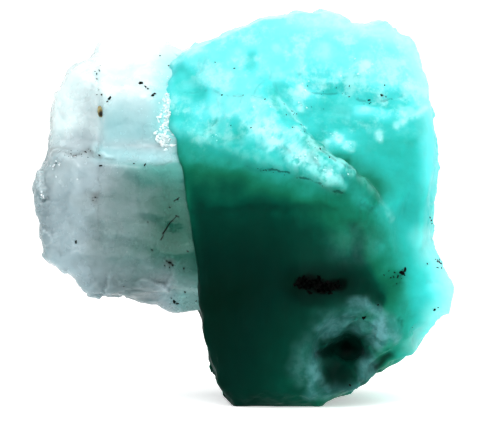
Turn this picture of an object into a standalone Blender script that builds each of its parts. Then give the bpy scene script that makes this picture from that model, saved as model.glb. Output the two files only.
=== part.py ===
"""An emerald in matrix: a stubby, broken, six-sided emerald, held in milky quartz that grew round its left side
and its back.

Metres, +Z up. The specimen stands on the level break at the emerald's foot, and its front looks towards -Y.
The origin is under the middle of the specimen's box, at the level of the surface that it stands on.

Outlines and breaks below are in millimetres, measured across (X), back (Y) and up (Z) from a point on the foot.
"""

import math

import bmesh
import bpy
from mathutils import Matrix, Vector

MM = 0.001

# ---- Driving dimensions, in metres ----
CONTACT_GAP = 0.35 * MM          # kept between the two minerals where they grew against each other
FOOT_LEVEL = 0.0                 # the emerald is cut off level here

PRISM_RADIUS = 15.2 * MM         # of the emerald's six-sided section, from its axis to an edge
PRISM_HEIGHT = 80.0 * MM         # far more than is left of it: the breaks below shorten it
PRISM_AXIS = (7.2 * MM, 0.2 * MM)
PRISM_LEAN = math.radians(5.0)   # the top leans to the left
PRISM_TURN = math.radians(-2.0)  # one edge points nearly to the front, and the next one to the left

SCOOP_CENTRE = (18.6 * MM, -12.6 * MM, 19.0 * MM)    # rounds the foot of the step on the right
SCOOP_SIZE = (10.0 * MM, 9.0 * MM, 13.0 * MM)
HOLLOW_CENTRE = (10.6 * MM, -12.4 * MM, 5.4 * MM)    # the shallow hollow low on the right
HOLLOW_SIZE = (8.2 * MM, 5.6 * MM, 9.6 * MM)
PIT_CENTRE = (10.3 * MM, -11.0 * MM, 6.2 * MM)       # the pit in the middle of that hollow
PIT_SIZE = (3.0 * MM, 7.6 * MM, 3.4 * MM)
LOBE_CENTRE = (16.4 * MM, -4.8 * MM, 11.4 * MM)      # the bulge that stands out at the lower right
LOBE_SIZE = (10.6 * MM, 12.0 * MM, 10.6 * MM)

VOXEL = 0.6 * MM                 # how finely the broken surfaces are modelled before they are thinned out
EMERALD_TRIANGLES = 5000
QUARTZ_TRIANGLES = 4200

# ---- Outlines, clockwise, in millimetres ----
EMERALD_FROM_FRONT = (
    (-7.2, 34.2), (-6.4, 35.0), (-2.7, 36.8), (0.8, 38.5), (2.6, 39.3), (6.3, 39.6), (9.4, 39.3), (11.1, 38.3),
    (14.4, 38.4), (16.2, 37.0), (17.1, 36.9), (18.0, 35.1), (18.8, 32.4), (19.3, 28.6), (19.7, 24.1), (19.4, 20.9),
    (19.5, 18.6), (19.1, 16.2), (20.7, 13.6), (21.3, 11.4), (21.0, 9.4), (19.5, 8.5), (18.1, 6.3), (14.1, 3.3),
    (11.1, 1.3), (7.8, -1.0), (-0.6, -1.0), (-1.8, 0.9), (-2.9, 3.4), (-3.9, 7.1), (-4.4, 12.1), (-5.2, 18.1),
    (-6.2, 26.1), (-7.0, 32.1),
)
EMERALD_FROM_RIGHT = (
    (-7.0, -1.0), (-10.6, 1.6), (-13.2, 5.6), (-14.2, 11.0), (-14.2, 26.0), (-6.0, 40.5), (4.4, 40.5), (8.4, 37.0),
    (11.4, 30.0), (12.6, 21.0), (11.8, 11.0), (9.2, 4.2), (5.0, -1.0),
)
STEP_FROM_FRONT = (
    (1.0, 45.0), (2.2, 34.5), (3.8, 31.1), (5.5, 28.1), (8.3, 25.6), (12.3, 22.6), (14.3, 19.1), (15.6, 15.0),
    (17.0, 12.0), (40.0, 12.0), (40.0, 45.0),
)
QUARTZ_FROM_FRONT = (
    (-18.9, 29.8), (-18.5, 31.6), (-17.2, 33.9), (-15.2, 34.9), (-14.6, 36.2), (-13.8, 37.2), (-11.2, 37.5),
    (-5.7, 37.0), (-2.0, 36.2), (2.6, 33.5), (4.6, 26.0), (3.4, 17.0), (0.6, 12.0), (-3.4, 9.2), (-6.4, 9.3),
    (-10.3, 10.1), (-12.0, 11.1), (-15.1, 10.8), (-16.5, 12.7), (-19.9, 14.6), (-20.3, 16.6), (-21.0, 20.1),
    (-20.9, 21.9), (-20.3, 23.9), (-19.4, 25.3), (-19.2, 27.1),
)


def clear_scene():
    for obj in list(bpy.data.objects):
        bpy.data.objects.remove(obj)


def new_collection(name):
    made = bpy.data.collections.new(name)
    bpy.context.scene.collection.children.link(made)
    return made


def stone_material(name, colour, roughness):
    """A Principled BSDF of one colour: neither mineral is metallic."""
    made = bpy.data.materials.new(name)
    made.use_nodes = True
    shader = made.node_tree.nodes["Principled BSDF"]
    shader.inputs["Base Color"].default_value = (*colour, 1.0)
    shader.inputs["Roughness"].default_value = roughness
    shader.inputs["Metallic"].default_value = 0.0
    return made


def add_object(name, mesh, collection):
    made = bpy.data.objects.new(name, mesh)
    collection.objects.link(made)
    return made


def mesh_object(name, bm, collection):
    """The bmesh as an object, with its faces pointing out."""
    bmesh.ops.recalc_face_normals(bm, faces=bm.faces)
    mesh = bpy.data.meshes.new(name)
    bm.to_mesh(mesh)
    bm.free()
    return add_object(name, mesh, collection)


def settle(obj):
    """Replaces the object's modifiers by their result, as one welded mesh."""
    graph = bpy.context.evaluated_depsgraph_get()
    mesh = bpy.data.meshes.new_from_object(obj.evaluated_get(graph))
    bm = bmesh.new()
    bm.from_mesh(mesh)
    bmesh.ops.remove_doubles(bm, verts=bm.verts, dist=0.01 * MM)
    bm.to_mesh(mesh)
    bm.free()
    obj.modifiers.clear()
    obj.data = mesh


def connected_bodies(bm):
    """The vertices of each separate body, the smallest body first."""
    unseen = set(bm.verts)
    bodies = []
    while unseen:
        body = [unseen.pop()]
        for vert in body:
            for edge in vert.link_edges:
                other = edge.other_vert(vert)
                if other in unseen:
                    unseen.remove(other)
                    body.append(other)
        bodies.append(body)
    return sorted(bodies, key=len)


def keep_largest(obj):
    """Drops the crumbs that a cut leaves beside the main body."""
    bm = bmesh.new()
    bm.from_mesh(obj.data)
    crumbs = [vert for body in connected_bodies(bm)[:-1] for vert in body]
    bmesh.ops.delete(bm, geom=crumbs, context="VERTS")
    bm.to_mesh(obj.data)
    bm.free()


def cut_flat(bm, point, normal):
    """Takes away what lies on the normal's side of a plane, and closes the cut."""
    cut = bmesh.ops.bisect_plane(
        bm,
        geom=[*bm.verts, *bm.edges, *bm.faces],
        dist=0.001 * MM,
        plane_co=Vector(point),
        plane_no=Vector(normal),
        clear_outer=True,
    )
    rim = [item for item in cut["geom_cut"] if isinstance(item, bmesh.types.BMEdge)]
    bmesh.ops.holes_fill(bm, edges=rim, sides=0)


def break_off(bm, breaks):
    """Each break is a (point, outward normal) pair, in millimetres."""
    for point, normal in breaks:
        cut_flat(bm, Vector(point) * MM, normal)


def chipped_block(name, low, high, breaks, collection):
    """A box from corner low to corner high, in millimetres, with breaks taken off it."""
    bm = bmesh.new()
    bmesh.ops.create_cube(bm, size=MM)
    bmesh.ops.scale(bm, vec=Vector(high) - Vector(low), verts=bm.verts)
    bmesh.ops.translate(bm, vec=(Vector(high) + Vector(low)) / 2 * MM, verts=bm.verts)
    break_off(bm, breaks)
    return mesh_object(name, bm, collection)


def outline_slab(name, outline, turn, collection, half_depth=40.0, breaks=()):
    """An outline made into a slab: turn 0 is an outline from the front, 90 degrees one from the right."""
    curve = bpy.data.curves.new(name, "CURVE")
    curve.dimensions = "2D"
    curve.fill_mode = "BOTH"
    curve.extrude = half_depth * MM
    spline = curve.splines.new("POLY")
    spline.points.add(len(outline) - 1)
    for point, (across, up) in zip(spline.points, outline):
        point.co = (across * MM, up * MM, 0.0, 1.0)
    spline.use_cyclic_u = True
    flat = add_object(name + "_outline", curve, collection)
    flat.rotation_euler = (math.radians(90), 0.0, math.radians(turn))
    bpy.context.view_layer.update()
    graph = bpy.context.evaluated_depsgraph_get()
    mesh = bpy.data.meshes.new_from_object(flat.evaluated_get(graph))
    mesh.transform(flat.matrix_world)
    bpy.data.objects.remove(flat)
    bm = bmesh.new()
    bm.from_mesh(mesh)
    bmesh.ops.remove_doubles(bm, verts=bm.verts, dist=0.01 * MM)
    break_off(bm, breaks)
    return mesh_object(name, bm, collection)


def boolean(obj, other, operation):
    step = obj.modifiers.new(operation.lower(), "BOOLEAN")
    step.operation = operation
    step.solver = "EXACT"
    step.object = other
    settle(obj)


def hide_helpers(collection):
    for helper in collection.objects:
        helper.hide_render = True
        helper.display_type = "WIRE"


def roughen(obj, triangles, softening, waves):
    """Turns flat cuts into broken stone: softened edges, then bumps of each (size, height), then fewer triangles."""
    remesh = obj.modifiers.new("even_mesh", "REMESH")
    remesh.mode = "VOXEL"
    remesh.voxel_size = VOXEL
    soften = obj.modifiers.new("soften", "SMOOTH")
    soften.factor = 0.5
    soften.iterations = softening
    for number, (size, height, basis) in enumerate(waves):
        texture = bpy.data.textures.new(f"{obj.name}_wave_{number}", "CLOUDS")
        texture.noise_scale = size * MM
        texture.noise_basis = basis
        texture.noise_depth = 1
        bumps = obj.modifiers.new(f"bumps_{number}", "DISPLACE")
        bumps.texture = texture
        bumps.texture_coords = "LOCAL"
        bumps.strength = height * MM
        bumps.mid_level = 0.5
    settle(obj)
    thin_out = obj.modifiers.new("thin_out", "DECIMATE")
    thin_out.ratio = triangles / sum(len(face.vertices) - 2 for face in obj.data.polygons)
    thin_out.use_collapse_triangulate = True
    settle(obj)


def grown(obj, by, collection):
    """A copy that stands out from obj by this much all over, to cut its neighbour with."""
    copy = add_object(obj.name + "_grown", obj.data.copy(), collection)
    swell = copy.modifiers.new("swell", "DISPLACE")
    swell.strength = by
    swell.mid_level = 0.0
    settle(copy)
    return copy


def ellipsoid(name, centre, size, collection):
    bm = bmesh.new()
    bmesh.ops.create_icosphere(bm, subdivisions=2, radius=0.5)
    bmesh.ops.scale(bm, vec=size, verts=bm.verts)
    bmesh.ops.translate(bm, vec=centre, verts=bm.verts)
    return mesh_object(name, bm, collection)


def emerald_prism(parts):
    """The crystal as it grew, six-sided and upright, less what broke off its back, its right side and its foot."""
    bm = bmesh.new()
    bmesh.ops.create_cone(
        bm, cap_ends=True, segments=6, radius1=PRISM_RADIUS, radius2=PRISM_RADIUS, depth=PRISM_HEIGHT
    )
    place = (
        Matrix.Translation((*PRISM_AXIS, PRISM_HEIGHT / 4))
        @ Matrix.Rotation(-PRISM_LEAN, 4, "Y")
        @ Matrix.Rotation(PRISM_TURN, 4, "Z")
    )
    bmesh.ops.transform(bm, matrix=place, verts=bm.verts)
    break_off(
        bm,
        (
            ((0.3, -11.3, 25.6), (-0.20, -0.81, 0.55)),  # the long slope over the front
            ((0.0, -11.2, 20.3), (-0.46, -0.82, 0.34)),  # narrow bevel under that slope's lip
            ((14.0, 8.0, 32.0), (0.35, 0.80, 0.50)),     # back of the top
            ((18.0, 5.0, 20.0), (0.75, 0.65, 0.05)),     # back of the right side
            ((19.3, 0.0, 12.0), (0.97, -0.20, -0.10)),   # the right side, where the bulge stands out
            ((13.5, -9.5, 4.2), (0.52, -0.56, -0.64)),   # under the cavity
            ((16.0, 3.0, 4.0), (0.60, 0.30, -0.70)),     # under the right side
            ((-4.0, 8.0, 34.0), (-0.45, 0.50, 0.72)),    # back of the upper left corner
            ((17.0, -8.0, 34.0), (0.62, -0.50, 0.60)),   # upper right corner
        ),
    )
    return mesh_object("emerald_crystal", bm, parts)


def stepped_back(cutters):
    """What broke off the upper right: it leaves a smooth face, a step behind the slanting edge of the front."""
    smooth_face = ((12.3, -9.6, 22.6), (-0.12, 0.90, -0.42))
    return outline_slab("stepped_back", STEP_FROM_FRONT, 0, cutters, breaks=(smooth_face,))


def emerald_crystal(cutters, parts):
    crystal = emerald_prism(parts)
    boolean(crystal, stepped_back(cutters), "DIFFERENCE")
    boolean(crystal, ellipsoid("scoop", SCOOP_CENTRE, SCOOP_SIZE, cutters), "DIFFERENCE")
    boolean(crystal, ellipsoid("lobe", LOBE_CENTRE, LOBE_SIZE, cutters), "UNION")
    boolean(crystal, outline_slab("emerald_front_slab", EMERALD_FROM_FRONT, 0, cutters), "INTERSECT")
    boolean(crystal, outline_slab("emerald_side_slab", EMERALD_FROM_RIGHT, 90, cutters), "INTERSECT")
    boolean(crystal, ellipsoid("hollow", HOLLOW_CENTRE, HOLLOW_SIZE, cutters), "DIFFERENCE")
    boolean(crystal, ellipsoid("pit", PIT_CENTRE, PIT_SIZE, cutters), "DIFFERENCE")
    roughen(crystal, EMERALD_TRIANGLES, 3, ((9.0, 1.0, "BLENDER_ORIGINAL"), (3.0, 0.5, "BLENDER_ORIGINAL")))

    bm = bmesh.new()
    bm.from_mesh(crystal.data)
    cut_flat(bm, (0.0, 0.0, FOOT_LEVEL), (0, 0, -1))
    bmesh.ops.triangulate(bm, faces=bm.faces)
    bm.to_mesh(crystal.data)
    bm.free()
    keep_largest(crystal)
    return crystal


def quartz_shoulder(parts):
    """The lump at the upper left, which turns away from the front."""
    return chipped_block(
        "quartz_matrix",
        (-20.0, -6.2, 20.0),
        (-14.0, 9.0, 39.0),
        (
            ((-14.6, -4.0, 28.0), (-0.45, -0.88, 0.10)),    # front
            ((-14.0, -2.6, 33.4), (-0.10, -0.62, 0.78)),    # over the top
            ((-18.0, 4.0, 28.0), (-0.80, 0.60, 0.10)),      # back of the left side
            ((-14.0, 6.0, 33.0), (-0.30, 0.70, 0.65)),      # back of the top
        ),
        parts,
    )


def quartz_window(cutters):
    """The squared block beside the emerald: a flat pane in front, a lip under it, and a slope above."""
    return chipped_block(
        "quartz_window",
        (-14.4, -7.4, 22.0),
        (4.0, 10.0, 39.0),
        (
            ((-10.0, -4.7, 28.0), (0.0, -1.0, 0.04)),       # pane
            ((-10.0, -4.4, 31.4), (0.06, -0.66, 0.75)),     # slope above it
            ((-6.0, 8.0, 30.0), (-0.10, 0.80, 0.60)),       # back
        ),
        cutters,
    )


def quartz_root(cutters):
    """The bigger, lumpy lower part, which also runs behind the emerald."""
    return chipped_block(
        "quartz_root",
        (-22.0, -7.6, 8.0),
        (6.0, 10.5, 25.6),
        (
            ((-10.0, -6.0, 24.4), (0.0, -0.70, 0.70)),      # lip under the window
            ((-10.0, -6.4, 20.0), (-0.06, -1.0, 0.0)),      # front
            ((-17.0, -5.8, 20.0), (-0.50, -0.86, 0.05)),    # left front
            ((-12.0, -6.2, 14.6), (-0.05, -0.90, -0.42)),   # lower front
            ((-12.0, -3.4, 10.6), (0.0, -0.62, -0.78)),     # under the front
            ((-19.0, 5.0, 20.0), (-0.80, 0.60, 0.0)),       # back of the left side
            ((-8.0, 8.5, 13.0), (0.0, 0.80, -0.60)),        # under the back
        ),
        cutters,
    )


def quartz_matrix(emerald, cutters, parts):
    matrix = quartz_shoulder(parts)
    boolean(matrix, quartz_window(cutters), "UNION")
    boolean(matrix, quartz_root(cutters), "UNION")
    boolean(matrix, outline_slab("quartz_front_slab", QUARTZ_FROM_FRONT, 0, cutters), "INTERSECT")
    roughen(matrix, QUARTZ_TRIANGLES, 2, ((8.0, 0.8, "BLENDER_ORIGINAL"), (2.4, 0.5, "VORONOI_F1")))
    boolean(matrix, grown(emerald, CONTACT_GAP, cutters), "DIFFERENCE")
    keep_largest(matrix)
    return matrix


def centre_on_origin(pieces):
    """Moves every piece alike, so that the origin is under the middle of the specimen's box."""
    corners = [vert.co for piece in pieces for vert in piece.data.vertices]
    middle_x = (min(c.x for c in corners) + max(c.x for c in corners)) / 2
    middle_y = (min(c.y for c in corners) + max(c.y for c in corners)) / 2
    for piece in pieces:
        piece.data.transform(Matrix.Translation((-middle_x, -middle_y, 0.0)))


def main():
    clear_scene()
    parts = new_collection("emerald_in_matrix")
    cutters = new_collection("cutters")

    emerald = emerald_crystal(cutters, parts)
    quartz = quartz_matrix(emerald, cutters, parts)
    centre_on_origin([emerald, quartz])
    hide_helpers(cutters)

    emerald.data.materials.clear()
    emerald.data.materials.append(stone_material("emerald_green", (0.05, 0.55, 0.42), 0.30))
    quartz.data.materials.clear()
    quartz.data.materials.append(stone_material("milky_quartz", (0.74, 0.82, 0.83), 0.35))


main()
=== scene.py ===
# %% [markdown]
# # Emerald in matrix
# A mineral specimen has no parts that someone put together: it grew, and then it broke. Two minerals make it up.
# The emerald is a stubby six-sided crystal, torn across its top and its right side. Milky quartz, the matrix,
# holds it on the left and behind. The frame already has both as plain solids of the right size, so this lesson is
# about everything that a plain solid lacks: the grain of a fracture, the depth of a cloudy crystal, and the tiny
# black micas that grew in both.

# %% Load the frame
import math
import random

import bmesh
import bpy
import numpy as np
from mathutils import Matrix, Vector, noise
from mathutils.bvhtree import BVHTree


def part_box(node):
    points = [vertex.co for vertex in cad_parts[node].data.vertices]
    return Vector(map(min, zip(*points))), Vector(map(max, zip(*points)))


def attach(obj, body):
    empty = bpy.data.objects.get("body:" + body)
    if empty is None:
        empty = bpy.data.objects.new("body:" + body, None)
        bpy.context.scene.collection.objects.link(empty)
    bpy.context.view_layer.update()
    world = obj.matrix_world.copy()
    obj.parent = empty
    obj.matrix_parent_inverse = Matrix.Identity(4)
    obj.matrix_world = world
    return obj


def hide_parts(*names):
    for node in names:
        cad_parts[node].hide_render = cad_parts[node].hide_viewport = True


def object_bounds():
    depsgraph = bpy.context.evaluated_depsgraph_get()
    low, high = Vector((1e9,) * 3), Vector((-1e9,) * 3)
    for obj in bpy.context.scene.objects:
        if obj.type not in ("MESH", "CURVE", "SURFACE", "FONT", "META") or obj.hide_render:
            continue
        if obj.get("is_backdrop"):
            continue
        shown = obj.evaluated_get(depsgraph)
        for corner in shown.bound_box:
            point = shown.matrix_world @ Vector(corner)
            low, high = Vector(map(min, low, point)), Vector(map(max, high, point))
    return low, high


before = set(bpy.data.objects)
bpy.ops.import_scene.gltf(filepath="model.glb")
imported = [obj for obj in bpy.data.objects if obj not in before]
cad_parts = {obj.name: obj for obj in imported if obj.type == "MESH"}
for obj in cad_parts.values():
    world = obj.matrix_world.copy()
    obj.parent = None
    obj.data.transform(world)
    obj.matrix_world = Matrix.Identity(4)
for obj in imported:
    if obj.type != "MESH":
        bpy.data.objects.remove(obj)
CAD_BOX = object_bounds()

MM = 0.001

for node_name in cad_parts:
    low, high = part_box(node_name)
    print(node_name, "from", [round(v / MM, 1) for v in low], "to", [round(v / MM, 1) for v in high], "mm")

# %% [markdown]
# ## A finer copy of each stone
# Relief needs vertices to move. Subdividing the frame's triangles would keep their long, uneven shapes, which show
# as creases once they are displaced. A voxel remesh gives an even skin instead, with points about as far apart
# everywhere. Points are handled in millimetres from here on, because every feature of a stone is a few of them.

# %% Remesh helper
EMERALD_VOXEL = 0.24 * MM
QUARTZ_VOXEL = 0.22 * MM


def link(name, mesh):
    made = bpy.data.objects.new(name, mesh)
    bpy.context.scene.collection.objects.link(made)
    return made


def built(name, bm):
    """A new object from a bmesh, which is freed."""
    mesh = bpy.data.meshes.new(name)
    bm.to_mesh(mesh)
    bm.free()
    return link(name, mesh)


def applied(obj):
    """Works the object's modifiers into its mesh."""
    graph = bpy.context.evaluated_depsgraph_get()
    mesh = bpy.data.meshes.new_from_object(obj.evaluated_get(graph))
    obj.modifiers.clear()
    obj.data = mesh


def fine_copy(node_name, name, voxel):
    bm = bmesh.new()
    bm.from_mesh(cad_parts[node_name].data)
    bmesh.ops.remove_doubles(bm, verts=bm.verts, dist=0.01 * MM)
    made = built(name, bm)
    remesh = made.modifiers.new("even_skin", "REMESH")
    remesh.mode = "VOXEL"
    remesh.voxel_size = voxel
    applied(made)
    print(name, "has", len(made.data.vertices), "points")
    return made


def read_points(obj):
    """Points and normals as arrays, the points in millimetres."""
    count = len(obj.data.vertices)
    points = np.empty(count * 3)
    normals = np.empty(count * 3)
    obj.data.vertices.foreach_get("co", points)
    obj.data.vertices.foreach_get("normal", normals)
    return points.reshape(-1, 3) / MM, normals.reshape(-1, 3)


def write_points(obj, points):
    obj.data.vertices.foreach_set("co", (points * MM).ravel())
    obj.data.update()


def paint(obj, name, values):
    """Stores one number per point, from 0 to 1, for the material to read."""
    layer = obj.data.attributes.new(name, "FLOAT", "POINT")
    layer.data.foreach_set("value", np.clip(values, 0.0, 1.0).astype(np.float32))


print("remesh: a point about every", EMERALD_VOXEL / MM, "mm on the emerald,", QUARTZ_VOXEL / MM, "mm on the quartz")

# %% [markdown]
# ## Relief that looks broken and not melted
# Cloud noise alone makes a stone look like wax, because every bump is round. Broken stone is a patchwork of little
# flat breaks that tip in different directions. A Voronoi pattern gives the patches, and each patch gets a slope of
# its own from its cell's number, so that neighbours meet at small steps and edges. Blender starts a part of its
# noise from the clock, so the seed is set first, and the stone then comes out the same each time.

# %% Relief helpers
NOISE_SEED = 7
CELL_SPREAD = 53.7
FACET_TILT = 1.6
FACET_STEP = 0.5
noise.seed_set(NOISE_SEED)


def ramp(values, start, end):
    """0 before start, 1 after end, and a soft S between."""
    t = np.clip((values - start) / (end - start), 0.0, 1.0)
    return t * t * (3.0 - 2.0 * t)


def clouds(points, size, seed, octaves=2):
    shift = Vector((seed * 13.7, seed * 7.1, seed * 3.3))
    return np.array([
        noise.fractal(Vector(p) / size + shift, 0.7, 2.1, octaves, noise_basis="PERLIN_NEW") for p in points
    ])


def facets(points, size, seed):
    """Small flat breaks about this size, each tipped its own way: from about -0.5 to 0.5."""
    shift = Vector((seed * 17.3, seed * 5.9, seed * 11.1))
    heights = np.empty(len(points))
    for number, point in enumerate(points):
        place = Vector(point) / size + shift
        centre = noise.voronoi(place)[1][0]
        tip = noise.cell_vector(centre * CELL_SPREAD) - Vector((0.5, 0.5, 0.5))
        heights[number] = tip.dot(place - centre) * FACET_TILT + tip.x * FACET_STEP
    return heights


print("relief helpers: ramp, clouds and facets, with noise seed", NOISE_SEED)

# %% [markdown]
# ## Lines drawn on a stone
# Cracks, lips and seams are placed as lines seen from the front, as (across, up) in millimetres. Nothing on a stone
# is ruled straight, so each line is measured from points that a noise has pushed about a little: the same line then
# wanders, swells and thins. The signed distance tells the two sides of a line apart, and stays exact between the
# points of a mesh, so that a material can draw a crack much finer than the mesh itself.

# %% Line helpers
def wandered(points, size, reach, seed):
    """The points seen from the front, each pushed about by up to this reach."""
    shift = Vector((seed * 9.1, seed * 4.7, seed * 2.9))
    pushed = points[:, [0, 2]].copy()
    for number, point in enumerate(points):
        push = noise.noise_vector(Vector(point) / size + shift)
        pushed[number] += (push.x * reach, push.z * reach)
    return pushed


def signed_from(seen, line):
    """Distance from a line, positive on its right-hand side as the line runs."""
    nearest = np.full(len(seen), 1e9)
    side = np.ones(len(seen))
    for start, end in zip(line[:-1], line[1:]):
        start, along = np.array(start), np.array(end) - np.array(start)
        offset = seen - start
        share = np.clip((offset @ along) / (along @ along), 0.0, 1.0)
        distance = np.linalg.norm(offset - share[:, None] * along, axis=1)
        closer = distance < nearest
        nearest = np.where(closer, distance, nearest)
        side = np.where(closer, np.where(along[0] * offset[:, 1] - along[1] * offset[:, 0] < 0.0, 1.0, -1.0), side)
    return nearest * side


def band(seen, line, width):
    """1 on the line and 0 beyond this width from it."""
    return 1.0 - ramp(np.abs(signed_from(seen, line)), 0.0, width)


def dab(seen, centre, width, height):
    """1 at a spot, and 0 beyond an ellipse of this width and height round it."""
    away = np.hypot((seen[:, 0] - centre[0]) / (width / 2), (seen[:, 1] - centre[1]) / (height / 2))
    return 1.0 - ramp(away, 0.25, 1.0)


def patch(seen, outline, softness):
    """1 inside a closed outline, and 0 beyond a soft edge."""
    closed = tuple(outline) + (outline[0],)
    inside = np.zeros(len(seen), bool)
    for (x0, z0), (x1, z1) in zip(closed[:-1], closed[1:]):
        if z0 != z1:
            spans = (z0 > seen[:, 1]) != (z1 > seen[:, 1])
            inside ^= spans & (seen[:, 0] < x0 + (x1 - x0) * (seen[:, 1] - z0) / (z1 - z0))
    away = np.abs(signed_from(seen, closed))
    return ramp(np.where(inside, away, -away), -softness, softness)


print("line helpers: wandered, signed_from, band, dab and patch")

# %% [markdown]
# ## The emerald
# Four sorts of surface meet on it, and each wants its own grain. The long slope over the top is a sugary break.
# Under its lip the old prism face is smooth, with faint upright lines of growth. To the right, behind a slanting
# step, lies a smoother break. Low on the right there is a bulge, and a hollow with a pale crushed rim.

# %% Lines on the emerald
LIP = ((-6.6, 27.8), (-4.2, 27.0), (-2.0, 26.3), (0.3, 25.4), (2.6, 24.7), (4.8, 24.1), (7.3, 23.3), (9.6, 22.2))
STEP_EDGE = (
    (3.7, 30.6), (4.5, 29.8), (5.2, 29.1), (5.6, 27.8), (7.0, 26.1), (8.5, 25.1), (9.8, 24.1), (10.8, 23.6),
    (12.0, 22.8), (13.0, 21.6), (14.0, 20.1), (14.7, 18.9),
)
UNDER_LIP = ((0.5, 24.1), (2.3, 23.9), (4.0, 23.7), (5.3, 23.4), (6.8, 22.9), (8.3, 22.2), (9.8, 21.6))
GROWTH_LINE = ((-4.7, 19.4), (-4.0, 19.5), (0.5, 20.0), (6.3, 20.4), (9.3, 20.1))
TOP_CRACK = (
    (-5.6, 31.4), (-4.2, 31.6), (-3.0, 31.6), (-2.0, 31.2), (0.5, 31.2), (2.3, 30.9), (3.5, 30.0), (4.1, 29.0)
)
SHELF_CRACK = ((7.3, 31.6), (9.8, 31.4), (11.3, 30.9), (12.8, 30.6), (14.3, 30.7), (16.0, 31.1))
BRIGHT_LINE = ((15.6, 28.2), (17.3, 29.1), (18.8, 30.1))
WHITE_WEDGE = (
    (4.2, 25.3), (5.6, 26.3), (7.0, 26.0), (8.3, 25.0), (9.6, 24.0), (9.5, 22.6), (8.3, 22.5), (6.4, 23.8),
    (4.8, 24.4),
)
RIGHT_FACE = (
    (9.6, 25.4), (11.4, 27.2), (14.0, 28.4), (17.4, 29.4), (20.0, 29.6), (20.4, 19.0), (16.4, 18.0), (14.4, 19.4),
    (12.6, 22.0), (11.0, 23.8),
)
CREASE = ((11.3, 18.4), (11.5, 17.0), (11.6, 15.4))
RIM = ((8.5, 6.5), (9.3, 7.6), (10.1, 8.8), (11.2, 10.0), (12.4, 10.6), (13.4, 9.8), (14.6, 8.4), (15.1, 7.1))
LEFT_RIM = ((7.3, 5.4), (7.2, 4.2), (7.1, 2.8), (6.9, 1.6))
HOLLOW_FLOOR = (
    (7.6, 7.0), (9.2, 7.2), (10.6, 7.6), (11.8, 6.6), (11.8, 5.0), (11.2, 3.2), (8.4, 2.8), (8.2, 4.6), (7.6, 5.4)
)
PIT_ARMS = ((7.6, 5.5), (9.2, 5.9), (10.8, 5.7), (12.2, 5.3))
NOTCH = ((13.3, 4.0), (14.1, 4.7), (14.9, 5.3))
CONTACT = ((-7.2, 29.6), (-6.4, 24.6), (-5.7, 20.6), (-5.0, 15.6), (-4.4, 10.6), (-3.9, 9.1), (-3.0, 3.6))
TOP_OUTLINE = (
    (-4.9, 36.0), (-1.4, 37.3), (1.4, 38.3), (5.0, 38.9), (10.0, 38.6), (12.5, 38.0), (15.7, 37.3), (17.2, 36.0),
    (17.8, 34.7), (18.3, 33.4), (18.8, 30.8), (19.1, 28.2), (19.4, 24.0), (19.2, 20.0), (18.8, 16.6),
)
BULGE_OUTLINE = ((18.6, 16.8), (19.5, 15.2), (20.3, 13.9), (21.0, 11.6), (20.8, 10.0), (19.6, 8.8))
MICA_STREAK = ((5.7, 12.8), (6.6, 12.8), (7.6, 12.5), (8.7, 12.4), (9.6, 12.6))
print("emerald: the step's edge runs through", len(STEP_EDGE), "points, the lip through", len(LIP))

# %% [markdown]
# ## Softer spots
# The plain solid has the hollow low on the right with hard edges, as if it had been cut. In a real stone such a
# hollow is weathered: its walls flow into each other. A Smooth modifier, held to one spot by a vertex group, does
# that and leaves the other edges of the crystal alone. A few turns round off the whole hollow, and many turns melt
# the ledge over its pit. The upper end of the step, where it should fade into the slope, is melted in the same way.

# %% Smooth the hollow and the end of the step
def smoothed(obj, weight, turns):
    """Smooths an object where the weight of its points is above 0."""
    group = obj.vertex_groups.new(name="smoothed")
    for number in np.nonzero(weight > 0.01)[0]:
        group.add([int(number)], float(weight[number]), "REPLACE")
    smooth = obj.modifiers.new("smooth_spot", "SMOOTH")
    smooth.vertex_group = group.name
    smooth.factor = 0.5
    smooth.iterations = turns
    applied(obj)
    obj.vertex_groups.clear()


HOLLOW_TURNS, LEDGE_TURNS, STEP_TURNS = 30, 260, 120

emerald = fine_copy("emerald_crystal", "emerald", EMERALD_VOXEL)
points, normals = read_points(emerald)
flat_view = points[:, [0, 2]]
near_front = 1.0 - ramp(points[:, 1], -4.0, -1.0)
faces_front = ramp(-normals[:, 1], -0.2, 0.2)
smoothed(emerald, dab(flat_view, (10.8, 6.0), 13.0, 14.0) * faces_front, HOLLOW_TURNS)
smoothed(emerald, dab(flat_view, (8.6, 8.0), 8.0, 8.4) * near_front, LEDGE_TURNS)
smoothed(emerald, dab(flat_view, (4.4, 29.8), 5.0, 6.4) * near_front, STEP_TURNS)
points, normals = read_points(emerald)
print("emerald: three spots smoothed,", len(points), "points")

# %% [markdown]
# ## Where each sort of surface lies
# A mask is a number for each point, from 0 to 1, that says how much of a thing there is. The old crystal face, the
# smooth break behind the step and the rough break on top each get one. They come from the way a point faces and
# from where it lies beside the lip and the step. A cloud noise makes the breaks patchy, rough here and even there.
# On the back the drawn places wander up and down far more, or their borders would run round the stone like hoops.

# %% Emerald surface zones
X, Y, Z = points.T
seen = wandered(points, 1.5, 0.25, 1)
calm = wandered(points, 3.0, 0.5, 2)
behind = clouds(points, 6.0, 31) * 3.5 * ramp(Y, -9.0, 2.0)
calm[:, 1] += behind

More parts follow.
